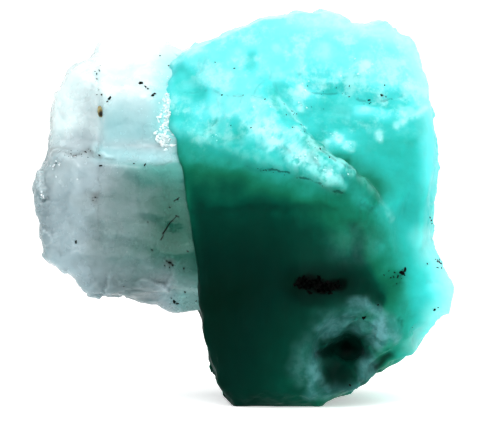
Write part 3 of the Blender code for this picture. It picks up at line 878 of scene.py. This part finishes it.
def ball(tree, place, centre_mm, inner_mm, outer_mm):
    """1 inside a ball round the centre, 0 outside a bigger one."""
    centre = tuple(v * MM for v in centre_mm)
    away = node(tree, "ShaderNodeVectorMath", ((0, place), (1, centre)), operation="DISTANCE")
    return map_range(tree, away.outputs["Value"], inner_mm * MM, outer_mm * MM, 1.0, 0.0)


print("masks: a crack's line, and a ball inside a stone")

# %% [markdown]
# ## Emerald
# Beryl is coloured by chromium, and looks darker the further light travels inside it. A true volume would need the
# light to be traced through many cloudy layers. A colour ramp over the painted depth gives the same run of tones,
# from whitish aqua to nearly black, and lets each be set by itself; the depth also carries painted light and shade.
# On top come sugary noise, clouds, crushed white, a painted glow on the thin edges, stains with painted shade in the
# hollow, a painted lift beside the quartz, and the cracks. The gloss is low, as on any broken and weathered stone.

# %% Emerald material
EMERALD_GREENS = tuple(((level - DEPTH_LOW) / (DEPTH_HIGH - DEPTH_LOW), colour) for level, colour in (
    (-1.30, (0.225, 0.735, 0.738)), (-0.95, (0.134, 0.660, 0.665)), (-0.60, (0.070, 0.560, 0.540)),
    (-0.30, (0.038, 0.455, 0.415)), (0.00, (0.030, 0.350, 0.290)), (0.27, (0.012, 0.220, 0.150)),
    (0.50, (0.007, 0.160, 0.098)), (0.75, (0.002, 0.105, 0.068)), (1.00, (0.001, 0.065, 0.044)),
    (1.50, (0.001, 0.046, 0.030)), (2.10, (0.001, 0.033, 0.023)), (3.00, (0.001, 0.022, 0.013)),
))


def emerald_material():
    made, tree, shader = new_material("emerald_green")
    place = node(tree, "ShaderNodeTexCoord").outputs["Object"]
    depth = stirred(tree, painted(tree, "depth"), noise_value(tree, place, 1.6, 5.0, 0.6), 0.06)
    colour = colour_ramp(tree, depth, EMERALD_GREENS)
    milk = map_range(tree, noise_value(tree, place, 1.3, 5.0, 0.6), 0.35, 0.65)
    milk = mix(tree, milk, (0.060, 0.195, 0.195), (0.145, 0.335, 0.345))
    colour = mix(tree, painted(tree, "cloudy"), colour, milk)

    sugar = map_range(tree, noise_value(tree, place, 2.4, 6.0, 0.68), 0.46, 0.66)
    sugar = math_node(tree, "MULTIPLY", math_node(tree, "MULTIPLY", sugar, painted(tree, "sugary")), 0.50)
    colour = mix(tree, sugar, colour, (0.56, 0.84, 0.84))
    # Painted light on the thin edges and upward faces, mixed towards near-white aqua.
    colour = mix(tree, math_node(tree, "MULTIPLY", painted(tree, "painted_edge_light"), 0.7), colour, (0.56, 0.87, 0.87))
    crushed = painted(tree, "crushed")
    powder = map_range(tree, noise_value(tree, place, 1.1, 6.0, 0.58), 0.28, 0.60)
    colour = mix(tree, math_node(tree, "MULTIPLY", crushed, powder), colour, (0.54, 0.89, 0.90))
    # Nearly black: painted shade in the pit and the hollow, and real stain round the mica.
    colour = mix(tree, painted(tree, "stain_and_shade"), colour, (0.0003, 0.0060, 0.0040))
    # Painted light: lightens the dark face beside the quartz, where the crease is in shade.
    contact_lift = math_node(tree, "MULTIPLY", painted(tree, "painted_contact_lift"), 0.7)
    colour = mix(tree, contact_lift, colour, (0.045, 0.185, 0.150), "LIGHTEN")
    crack = crack_mask(tree, place, 0.08, 0.46)
    colour = mix(tree, crack, colour, (0.006, 0.070, 0.055))
    fill(tree, shader, (
        ("Base Color", colour),
        ("Roughness", uneven_gloss(tree, place, 1.2, 0.30, 0.55)),
        ("Normal", fine_bump(tree, place, 0.30, 0.35, 6.0, 0.6)),
        ("IOR", 1.58),
        ("Specular IOR Level", 0.04),
        ("Subsurface Weight", map_range(tree, painted(tree, "contact"), 0.0, 1.0, 0.7, 0.0)),
        ("Subsurface Radius", (0.35, 1.0, 0.9)),
        ("Subsurface Scale", 1.2 * MM),
    ))
    return made


print("emerald:", len(EMERALD_GREENS), "greens from whitish aqua to nearly black")

# %% [markdown]
# ## Milky quartz
# Quartz is glassier than the emerald, so it gets less roughness, a touch of transmission at its outer edges and
# full subsurface scattering, which makes it look like wax paper held to a window. Beside the emerald the green
# comes through it, and a colour ramp by height gives its run: pale at the lip, deep in the middle, and bright again
# at the lower edge, where the quartz is thin.

# %% Quartz material
QUARTZ_IOR = 1.54
QUARTZ_SPREAD = (0.9, 1.0, 1.0)
QUARTZ_VEILS = (
    (0.00, (0.760, 0.870, 0.870)),
    (0.25, (0.540, 0.640, 0.665)),
    (0.45, (0.375, 0.465, 0.495)),
    (0.60, (0.260, 0.335, 0.347)),
    (0.75, (0.170, 0.270, 0.265)),
    (0.90, (0.060, 0.175, 0.142)),
    (1.00, (0.025, 0.145, 0.108)),
)
GREENS_FROM, GREENS_TO = 10.0, 30.0
THROUGH_GREENS = tuple(((up - GREENS_FROM) / (GREENS_TO - GREENS_FROM), colour) for up, colour in (
    (11.3, (0.300, 0.590, 0.560)), (13.2, (0.060, 0.215, 0.178)), (15.0, (0.016, 0.135, 0.098)),
    (18.5, (0.014, 0.128, 0.090)), (21.6, (0.042, 0.205, 0.165)), (23.6, (0.066, 0.325, 0.285)),
    (25.5, (0.130, 0.430, 0.410)),
))


def quartz_material():
    made, tree, shader = new_material("milky_quartz")
    place = node(tree, "ShaderNodeTexCoord").outputs["Object"]
    veil = stirred(tree, painted(tree, "veil"), noise_value(tree, place, 1.4, 5.0, 0.6), 0.16)
    colour = colour_ramp(tree, veil, QUARTZ_VEILS)
    colour = mix(tree, painted(tree, "pane"), colour, (0.385, 0.600, 0.625))
    colour = mix(tree, painted(tree, "aqua"), colour, (0.29, 0.70, 0.71))
    height = node(tree, "ShaderNodeSeparateXYZ", ((0, place),)).outputs[2]
    height = node(tree, "ShaderNodeMapRange", (
        ("Value", height), ("From Min", GREENS_FROM * MM), ("From Max", GREENS_TO * MM)
    )).outputs["Result"]
    colour = mix(tree, painted(tree, "greened"), colour, colour_ramp(tree, height, THROUGH_GREENS))
    # Grey: painted shade under the shoulder, and stain round the micas.
    colour = mix(tree, painted(tree, "stain_and_shade"), colour, (0.16, 0.17, 0.17))
    crack = crack_mask(tree, place, 0.07, 0.48)
    colour = mix(tree, crack, colour, (0.05, 0.06, 0.055))
    fill(tree, shader, (
        ("Base Color", colour),
        ("Roughness", uneven_gloss(tree, place, 1.5, 0.10, 0.34)),
        ("Normal", fine_bump(tree, place, 0.3, 0.5, 5.0, 0.55)),
        ("Transmission Weight", map_range(tree, painted(tree, "clear"), 0.0, 1.0, 0.10, 0.28)),
        ("IOR", QUARTZ_IOR),
        ("Subsurface Weight", map_range(tree, painted(tree, "contact"), 0.0, 1.0, 1.0, 0.0)),
        ("Subsurface Radius", QUARTZ_SPREAD),
        ("Subsurface Scale", 2.0 * MM),
    ))
    return made


for stone, finish in ((emerald, emerald_material()), (quartz, quartz_material())):
    stone.data.materials.clear()
    stone.data.materials.append(finish)
    stone.data.shade_smooth()
    print(stone.name, "is finished in", finish.name)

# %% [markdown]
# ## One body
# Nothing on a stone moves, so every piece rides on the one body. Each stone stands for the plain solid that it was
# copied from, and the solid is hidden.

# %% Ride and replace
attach(emerald, "root")
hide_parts("emerald_crystal")
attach(quartz, "root")
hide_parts("quartz_matrix")
print("emerald and quartz now stand for the two plain solids")

# %% [markdown]
# ## Small minerals
# Black mica flakes, white splinters and sugary grains are what make a cloudy stone look real from close by. Each
# kind is one piece made of many small bodies. A body starts as a six-sided plate or a ball of twenty faces, and is
# stretched, turned and chipped a little by a random number generator that starts from a fixed seed. It is set on
# the stone by a ray from the front, and sunk a little way in, as a grain sits in its rock.

# %% Grain helpers
def front_hit(tree, across, up):
    """The stone's surface behind a spot that is given from the front in millimetres, and its outward normal."""
    found, outward, _, _ = tree.ray_cast(Vector((across, -60.0, up)) * MM, Vector((0.0, 1.0, 0.0)))
    return found, outward


def any_turn(dice):
    angle = dice.uniform(0.0, math.tau)
    return Matrix.Rotation(angle, 4, Vector(dice.gauss(0.0, 1.0) for _ in range(3)).normalized())


def add_body(bm, kind, size, stretch, turn, place, dice, chipping):
    """One small body, about this size across: a plate or a chip."""
    if kind == "plate":
        made = bmesh.ops.create_cone(
            bm, cap_ends=True, segments=6, radius1=0.5 * size, radius2=0.42 * size, depth=0.3 * size
        )
    else:
        made = bmesh.ops.create_icosphere(bm, subdivisions=1, radius=0.5 * size)
    verts = made["verts"]
    for vert in verts:
        vert.co *= 1.0 + dice.uniform(-chipping, chipping)
    bmesh.ops.scale(bm, vec=stretch, verts=verts)
    bmesh.ops.transform(bm, matrix=Matrix.Translation(place) @ turn, verts=verts)


def grains(name, tree, spots, seed, kind="chip", chipping=0.25, sink=0.1, stretch=(1.0, 1.0, 1.0)):
    """One piece of many bodies; a spot is (across, up, size), all in millimetres."""
    dice = random.Random(seed)
    bm = bmesh.new()
    for across, up, size in spots:
        found, outward = front_hit(tree, across, up)
        if found is None:
            continue
        shape = tuple(axis * dice.uniform(0.75, 1.25) for axis in stretch)
        place = found - outward * size * sink * MM
        add_body(bm, kind, size * MM, shape, any_turn(dice), place, dice, chipping)
    made = built(name, bm)
    print(name, "has", len(made.data.polygons), "faces")
    return made


print("grain helpers: front_hit, add_body and grains")


# %% Spots for the grains
def cluster(seed, centre, spread, count, small, large):
    """Spots thrown round a centre, thick in the middle."""
    dice = random.Random(seed)
    return [
        (dice.gauss(centre[0], spread[0]), dice.gauss(centre[1], spread[1]), dice.uniform(small, large))
        for _ in range(count)
    ]


def along(seed, line, spread, count, small, large):
    """Spots thrown along a line."""
    dice = random.Random(seed)
    spots = []
    for _ in range(count):
        part = dice.uniform(0, len(line) - 1.001)
        start, end = line[int(part)], line[int(part) + 1]
        share = part - int(part)
        spots.append((
            start[0] + (end[0] - start[0]) * share + dice.gauss(0.0, spread),
            start[1] + (end[1] - start[1]) * share + dice.gauss(0.0, spread),
            dice.uniform(small, large),
        ))
    return spots


print("spots: thrown round a centre, or along a line")

# %% [markdown]
# ## Mica
# Emerald grows in black mica schist, and flakes of it stay in the crystal and in the quartz. They are six-sided
# plates, nearly black. On the emerald they sit in two clumps on the bulge, in a thick streak over the hollow, and
# as single dots along the cracks. The few that stand out are listed one by one, and the rest are thrown round them.
# The streak is a mat of flakes with no gloss left, so it has a darker finish than the single ones.

# %% Mica spots
EMERALD_MICA = (
    (-2.7, 34.5, 0.20), (-0.8, 33.9, 0.28), (-2.0, 31.2, 0.22), (0.1, 31.2, 0.20), (2.3, 30.8, 0.20),
    (-1.1, 28.2, 0.16), (0.9, 28.0, 0.18), (6.6, 32.1, 0.18), (9.5, 31.9, 0.20), (10.8, 32.1, 0.18),
    (10.8, 31.0, 0.24), (12.8, 30.7, 0.26), (14.1, 31.2, 0.40), (14.5, 31.0, 0.22), (14.4, 32.2, 0.18),
    (5.0, 29.6, 0.16), (5.5, 29.3, 0.16), (5.8, 28.3, 0.26), (6.2, 27.6, 0.18), (7.7, 26.0, 0.20),
    (8.6, 25.2, 0.22), (7.0, 30.0, 0.14), (8.2, 29.8, 0.14), (15.9, 13.5, 0.85), (16.2, 13.9, 0.5),
    (15.5, 13.1, 0.36), (15.2, 13.6, 0.24), (14.8, 13.1, 0.24), (14.1, 13.4, 0.2), (14.6, 13.8, 0.16),
    (15.4, 12.5, 0.2), (19.1, 18.5, 0.5), (19.2, 18.1, 0.3), (18.9, 18.9, 0.24), (19.2, 9.8, 0.40),
    (19.6, 10.0, 0.2), (12.1, 9.2, 0.50), (13.5, 10.5, 0.3), (10.8, 2.4, 0.28), (17.0, 8.0, 0.18),
)
QUARTZ_MICA = (
    (-14.8, 33.3, 0.36), (-14.5, 33.6, 0.24), (-14.7, 32.8, 0.26), (-14.2, 31.2, 0.24), (-14.7, 31.2, 0.18),
    (-13.4, 30.9, 0.42), (-13.6, 30.5, 0.2), (-10.2, 32.3, 0.66), (-9.8, 32.0, 0.40), (-9.5, 31.8, 0.28),
    (-9.1, 31.2, 0.50), (-8.8, 31.3, 0.34), (-8.4, 35.1, 0.22), (-7.5, 34.1, 0.22), (-16.9, 25.1, 0.42),
    (-15.8, 25.4, 0.28), (-14.4, 25.1, 0.30), (-14.3, 24.1, 0.46), (-10.9, 24.3, 0.30), (-9.8, 24.2, 0.34),
    (-16.7, 16.4, 0.34), (-9.5, 18.4, 0.22), (-9.1, 15.6, 0.26), (-7.3, 14.3, 0.42), (-7.0, 14.1, 0.26),
    (-7.6, 14.5, 0.2), (-5.9, 13.7, 0.3), (-5.5, 15.5, 0.26), (-5.8, 11.2, 0.30), (-6.9, 10.2, 0.50),
    (-6.6, 9.9, 0.34), (-7.2, 10.5, 0.24), (-4.7, 10.2, 0.22), (-6.5, 20.7, 0.2), (-7.3, 19.9, 0.22),
    (-14.8, 20.9, 0.24), (-15.0, 20.6, 0.18), (-12.0, 11.8, 0.2), (-18.8, 24.3, 0.2),
)


print("mica:", len(EMERALD_MICA), "listed flakes on the emerald,", len(QUARTZ_MICA), "on the quartz")


# %% Mica finish
def mica_material(name="black_mica", base=(0.002, 0.003, 0.002), lit=(0.014, 0.017, 0.009)):
    made, tree, shader = new_material(name)
    place = node(tree, "ShaderNodeTexCoord").outputs["Object"]
    patches = map_range(tree, noise_value(tree, place, 0.25, 3.0), 0.52, 0.70)
    fill(tree, shader, (
        ("Base Color", mix(tree, patches, base, lit)),
        ("Roughness", uneven_gloss(tree, place, 0.4, 0.35, 0.60)),
        ("Specular IOR Level", 0.06),
    ))
    return made


def finish_piece(piece, material):
    piece.data.materials.append(material)
    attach(piece, "root")


mica = mica_material()
matted = mica_material("matted_mica", (0.0004, 0.0010, 0.0006), (0.002, 0.006, 0.004))
print("mica: finishes", mica.name, "and", matted.name)

# %% Set the mica
emerald_spots = list(EMERALD_MICA)
emerald_spots += cluster(31, (15.9, 13.4), (0.35, 0.28), 12, 0.12, 0.26)
emerald_spots += cluster(32, (19.6, 14.5), (0.45, 0.42), 14, 0.14, 0.30)
emerald_spots += along(33, SHELF_CRACK, 0.25, 12, 0.08, 0.16)
emerald_spots += along(34, STEP_EDGE[:6], 0.25, 12, 0.08, 0.16)
emerald_spots += along(36, UNDER_LIP, 0.15, 12, 0.08, 0.18)
finish_piece(grains("emerald_micas", emerald_tree, emerald_spots, 41, "plate"), mica)
quartz_spots = list(QUARTZ_MICA)
quartz_spots += cluster(35, (-7.2, 14.2), (0.4, 0.3), 8, 0.08, 0.16)
quartz_spots += cluster(37, (-17.0, 25.3), (1.4, 0.25), 16, 0.08, 0.16)
quartz_spots += cluster(38, (-6.8, 10.3), (0.8, 0.5), 7, 0.07, 0.14)
quartz_spots += cluster(39, (-14.6, 32.6), (0.3, 1.2), 10, 0.07, 0.14)
finish_piece(grains("quartz_micas", quartz_tree, quartz_spots, 42, "plate"), mica)

streak_spots = along(43, MICA_STREAK[:4], 0.24, 200, 0.4, 0.9) + along(45, MICA_STREAK[2:], 0.16, 60, 0.3, 0.6)
finish_piece(grains("mica_streak", emerald_tree, streak_spots, 44, "plate", sink=0.25), matted)

# %% [markdown]
# ## White splinters and sugar
# Along the contact the quartz is crushed into white splinters. They look white for the same reason that snow
# does: light is scattered at many small faces. The left edge of the quartz has a few glassy chips, coloured
# nearly white where glints show on it: painted highlights that are glossy enough to catch the light too. The break
# over the top of the emerald sparkles too, with finer grains in loose clusters.

# %% White splinters
def white_material(name, pale, tint, roughness):
    made, tree, shader = new_material(name)
    place = node(tree, "ShaderNodeTexCoord").outputs["Object"]
    cloud = map_range(tree, noise_value(tree, place, 0.6, 4.0), 0.35, 0.65)
    fill(tree, shader, (
        ("Base Color", mix(tree, cloud, tint, pale)),
        ("Roughness", uneven_gloss(tree, place, 0.3, roughness, roughness + 0.2)),
        ("IOR", QUARTZ_IOR),
        ("Subsurface Weight", 0.4),
        ("Subsurface Radius", QUARTZ_SPREAD),
        ("Subsurface Scale", 0.3 * MM),
    ))
    return made


splinter_spots = (
    cluster(51, (-7.9, 26.7), (0.36, 0.36), 40, 0.22, 0.62)
    + cluster(52, (-7.6, 28.4), (0.36, 0.80), 44, 0.20, 0.60)
    + cluster(53, (-7.7, 30.6), (0.30, 0.70), 26, 0.16, 0.44)
    + cluster(54, (-7.8, 33.0), (0.30, 0.60), 10, 0.12, 0.26)
    + cluster(55, (-8.5, 27.2), (0.26, 0.40), 10, 0.12, 0.26)
    + along(56, ((-7.0, 29.6), (-6.7, 27.2)), 0.20, 20, 0.12, 0.30)
)
splinters = white_material("crushed_white", (0.90, 0.94, 0.94), (0.62, 0.82, 0.84), 0.25)
quartz_splinters = grains("quartz_splinters", quartz_tree, splinter_spots, 61, stretch=(1.2, 0.8, 0.7))
finish_piece(quartz_splinters, splinters)

# %% Glassy chips painted as glints
GLINTS = [
    (-16.9, 25.0, 0.30), (-17.2, 24.9, 0.2), (-19.0, 24.1, 0.34), (-18.8, 24.5, 0.24), (-18.8, 22.9, 0.26),
    (-16.6, 22.7, 0.28),
]
glint_spots = (
    GLINTS
    + cluster(57, (-18.9, 24.2), (0.30, 0.40), 8, 0.12, 0.22)
    + cluster(58, (-20.2, 21.0), (0.25, 0.60), 8, 0.14, 0.30)
)
# Painted highlights: nearly white chips set where the quartz's edge shows glints.
glints = white_material("chips_painted_as_glints", (0.86, 0.90, 0.92), (0.60, 0.70, 0.74), 0.08)
finish_piece(grains("quartz_glints", quartz_tree, glint_spots, 62), glints)

# %% Sugary grains
SUGAR_CLUSTERS = (
    ((6.0, 31.6), (0.35, 0.40), 14, 0.20, 0.50), ((6.0, 30.0), (0.26, 0.36), 6, 0.16, 0.36),
    ((6.1, 27.9), (0.14, 0.20), 5, 0.16, 0.34), ((9.6, 27.1), (0.40, 0.30), 7, 0.16, 0.40),
    ((10.6, 26.3), (0.40, 0.25), 5, 0.16, 0.34), ((13.8, 27.3), (0.20, 0.40), 4, 0.16, 0.30),
    ((12.4, 33.8), (0.60, 0.60), 14, 0.20, 0.42), ((9.9, 33.3), (0.30, 0.35), 5, 0.18, 0.36),
    ((16.6, 32.4), (0.50, 0.40), 5, 0.18, 0.34), ((2.6, 27.6), (0.90, 0.70), 10, 0.20, 0.42),
    ((5.8, 25.2), (0.60, 0.55), 12, 0.20, 0.46), ((8.9, 23.8), (0.50, 0.36), 8, 0.18, 0.42),
    ((1.4, 30.2), (0.80, 0.40), 5, 0.14, 0.28), ((-2.8, 27.0), (0.60, 0.30), 5, 0.14, 0.28),
)
sugar_spots = [spot for number, group in enumerate(SUGAR_CLUSTERS) for spot in cluster(70 + number, *group)]
sugar = white_material("sugar_white", (0.62, 0.92, 0.92), (0.30, 0.80, 0.80), 0.30)
sugar_grains = grains("sugar_grains", emerald_tree, sugar_spots, 63, chipping=0.35, sink=0.3, stretch=(1.0, 0.8, 0.9))
finish_piece(sugar_grains, sugar)

# %% [markdown]
# ## One stained grain
# Beside the pane sits a grain with a rusty rim and a black middle, about a millimetre high. Three flattened balls
# that run into each other make its lump, and the material blackens everything inside a small ball at its middle.

# %% Stained grain
GRAIN_SPOT = (-14.3, 29.5)
GRAIN_MIDDLE = (-14.22, 29.3)
GRAIN_LUMPS = ((0.0, 0.0, 0.62, 1.15), (0.14, -0.28, 0.50, 0.66), (-0.10, 0.34, 0.44, 0.50))


def stained_grain():
    bm = bmesh.new()
    dice = random.Random(81)
    found, _ = front_hit(quartz_tree, *GRAIN_SPOT)
    for across, up, width, height in GRAIN_LUMPS:
        made = bmesh.ops.create_icosphere(bm, subdivisions=2, radius=0.5 * MM)
        for vert in made["verts"]:
            vert.co *= 1.0 + dice.uniform(-0.12, 0.12)
        bmesh.ops.scale(bm, vec=(width, 0.36, height), verts=made["verts"])
        bmesh.ops.translate(bm, vec=found + Vector((across, -0.02, up)) * MM, verts=made["verts"])
    return built("stained_grain", bm)


def rusty_material():
    made, tree, shader = new_material("rusty_grain")
    place = node(tree, "ShaderNodeTexCoord").outputs["Object"]
    spot = front_hit(quartz_tree, *GRAIN_MIDDLE)[0] / MM
    black = ball(tree, place, tuple(spot), 0.15, 0.42)
    grain = map_range(tree, noise_value(tree, place, 0.3, 4.0), 0.35, 0.65)
    rust = mix(tree, grain, (0.16, 0.12, 0.035), (0.42, 0.38, 0.20))
    fill(tree, shader, (
        ("Base Color", mix(tree, black, rust, (0.010, 0.009, 0.005))),
        ("Roughness", map_range(tree, grain, 0.0, 1.0, 0.35, 0.6)),
    ))
    return made


finish_piece(stained_grain(), rusty_material())
print("stained_grain: one lump of", len(GRAIN_LUMPS), "balls")

# %% [markdown]
# ## Needles
# Two dark needles, thin as a hair and bent where they once broke, cross the quartz near the emerald. Each length of
# a needle is a six-sided cone section, as long as the distance between its two ends and turned to run from one to
# the other.

# %% Needles
NEEDLES = (
    ((-8.0, 17.2), (-7.3, 18.3), 0.13), ((-7.3, 18.3), (-6.6, 19.0), 0.12), ((-8.2, 16.6), (-7.9, 17.1), 0.10),
    ((-6.7, 19.1), (-6.3, 18.9), 0.10), ((-6.9, 20.5), (-6.3, 20.9), 0.08),
)


def needle_length(bm, start, end, width):
    """A thin six-sided rod between two spots on the quartz."""
    low, high = (front_hit(quartz_tree, *spot)[0] for spot in (start, end))
    axis = high - low
    turn = axis.to_track_quat("Z", "Y").to_matrix().to_4x4()
    made = bmesh.ops.create_cone(
        bm, cap_ends=True, segments=6, radius1=0.5 * width * MM, radius2=0.35 * width * MM, depth=axis.length
    )
    bmesh.ops.transform(bm, matrix=Matrix.Translation((low + high) / 2) @ turn, verts=made["verts"])


def dark_needles():
    bm = bmesh.new()
    for start, end, width in NEEDLES:
        needle_length(bm, start, end, width)
    return built("dark_needles", bm)


finish_piece(dark_needles(), mica)
print("dark_needles:", len(NEEDLES), "lengths")

# %% [markdown]
# ## Studio
# A pale floor and a white surround, with very broad lights, so that the tones painted on the stone, painted light
# and shade among them, do the work. A broad lamp straight behind the camera would flatten it, so the key stands high
# in front and its light falls off over the stone's shoulders. The surround is brighter behind the stone than in
# front: it lights the thin edges and stays out of the reflections on the dark face. The floor is hidden from
# reflections for the same reason.

# %% Studio
FLOOR_RADIUS = 100.0 * MM


def studio_floor():
    bm = bmesh.new()
    bmesh.ops.create_circle(bm, cap_ends=True, segments=96, radius=FLOOR_RADIUS)
    floor = built("floor", bm)
    made, tree, shader = new_material("pale_floor")
    fill(tree, shader, (
        ("Base Color", (0.86, 0.86, 0.86)), ("Roughness", 0.9), ("Emission Color", (1.0, 1.0, 1.0)),
        ("Emission Strength", 0.45),
    ))
    floor.data.materials.append(made)
    floor.visible_glossy = False
    floor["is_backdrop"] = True


def sun(name, towards_light, strength, spread):
    lamp = bpy.data.lights.new(name, "SUN")
    lamp.energy = strength
    lamp.angle = math.radians(spread)
    made = link(name, lamp)
    made.rotation_euler = Vector(towards_light).to_track_quat("Z", "Y").to_euler()


def studio_world():
    world = bpy.data.worlds.new("studio")
    world.use_nodes = True
    tree = world.node_tree
    background = tree.nodes["Background"]
    background.inputs["Color"].default_value = (1.0, 1.0, 1.0, 1.0)
    camera_ray = node(tree, "ShaderNodeLightPath").outputs["Is Camera Ray"]
    towards = node(tree, "ShaderNodeSeparateXYZ", ((0, node(tree, "ShaderNodeTexCoord").outputs["Generated"]),))
    behind = map_range(tree, towards.outputs[1], -0.3, 1.0, 0.08, 1.2)
    above = map_range(tree, towards.outputs[2], 0.1, 0.9, 0.0, 0.45)
    glow = math_node(tree, "MAXIMUM", behind, above)
    strength = math_node(tree, "MAXIMUM", glow, camera_ray)
    tree.links.new(strength, background.inputs["Strength"])
    bpy.context.scene.world = world


studio_floor()
studio_world()
sun("key", (0.1, -1.0, 1.0), 3.4, 115)
sun("rim", (0.9, 0.35, 0.5), 0.6, 60)
sun("spark", (-0.35, -0.9, 0.8), 0.35, 8)
bpy.context.scene.view_settings.view_transform = "Standard"
bpy.context.scene.view_settings.gamma = 0.8
print("studio: floor, surround and three suns")

# %% [markdown]
# ## Camera
# The camera stands a third of a metre away and three degrees above level, and the lens is worked out from the
# width it has to show at the stone. It aims at a spot near the stone's front, a little below the middle.

# %% Camera
VIEW_DISTANCE = 0.34
VIEW_ELEVATION = math.radians(3.0)
VIEW_WIDTH = 50.0 * MM
AIM = Vector((0.8, -8.0, 18.4)) * MM
lens = bpy.data.cameras.new("camera")
lens.sensor_width = 36.0
lens.lens = lens.sensor_width * VIEW_DISTANCE / VIEW_WIDTH
lens.clip_start = 0.01
lens.clip_end = 20.0
camera = link("camera", lens)
back = Vector((0.0, -math.cos(VIEW_ELEVATION), math.sin(VIEW_ELEVATION)))
camera.location = AIM + back * VIEW_DISTANCE
camera.rotation_euler = back.to_track_quat("Z", "Y").to_euler()
bpy.context.scene.camera = camera
print("camera: lens", round(lens.lens), "mm for a view", round(VIEW_WIDTH / MM), "mm wide")

# %% [markdown]
# ## Finish
# The size of the plain model and of this one are written side by side, so that they can be compared.

# %% Finish
sizes = {"cad": [list(corner) for corner in CAD_BOX], "visual": [list(corner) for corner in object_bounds()]}
for name, (low, high) in sizes.items():
    print(name, "box:", [round((b - a) / MM, 1) for a, b in zip(low, high)], "mm")
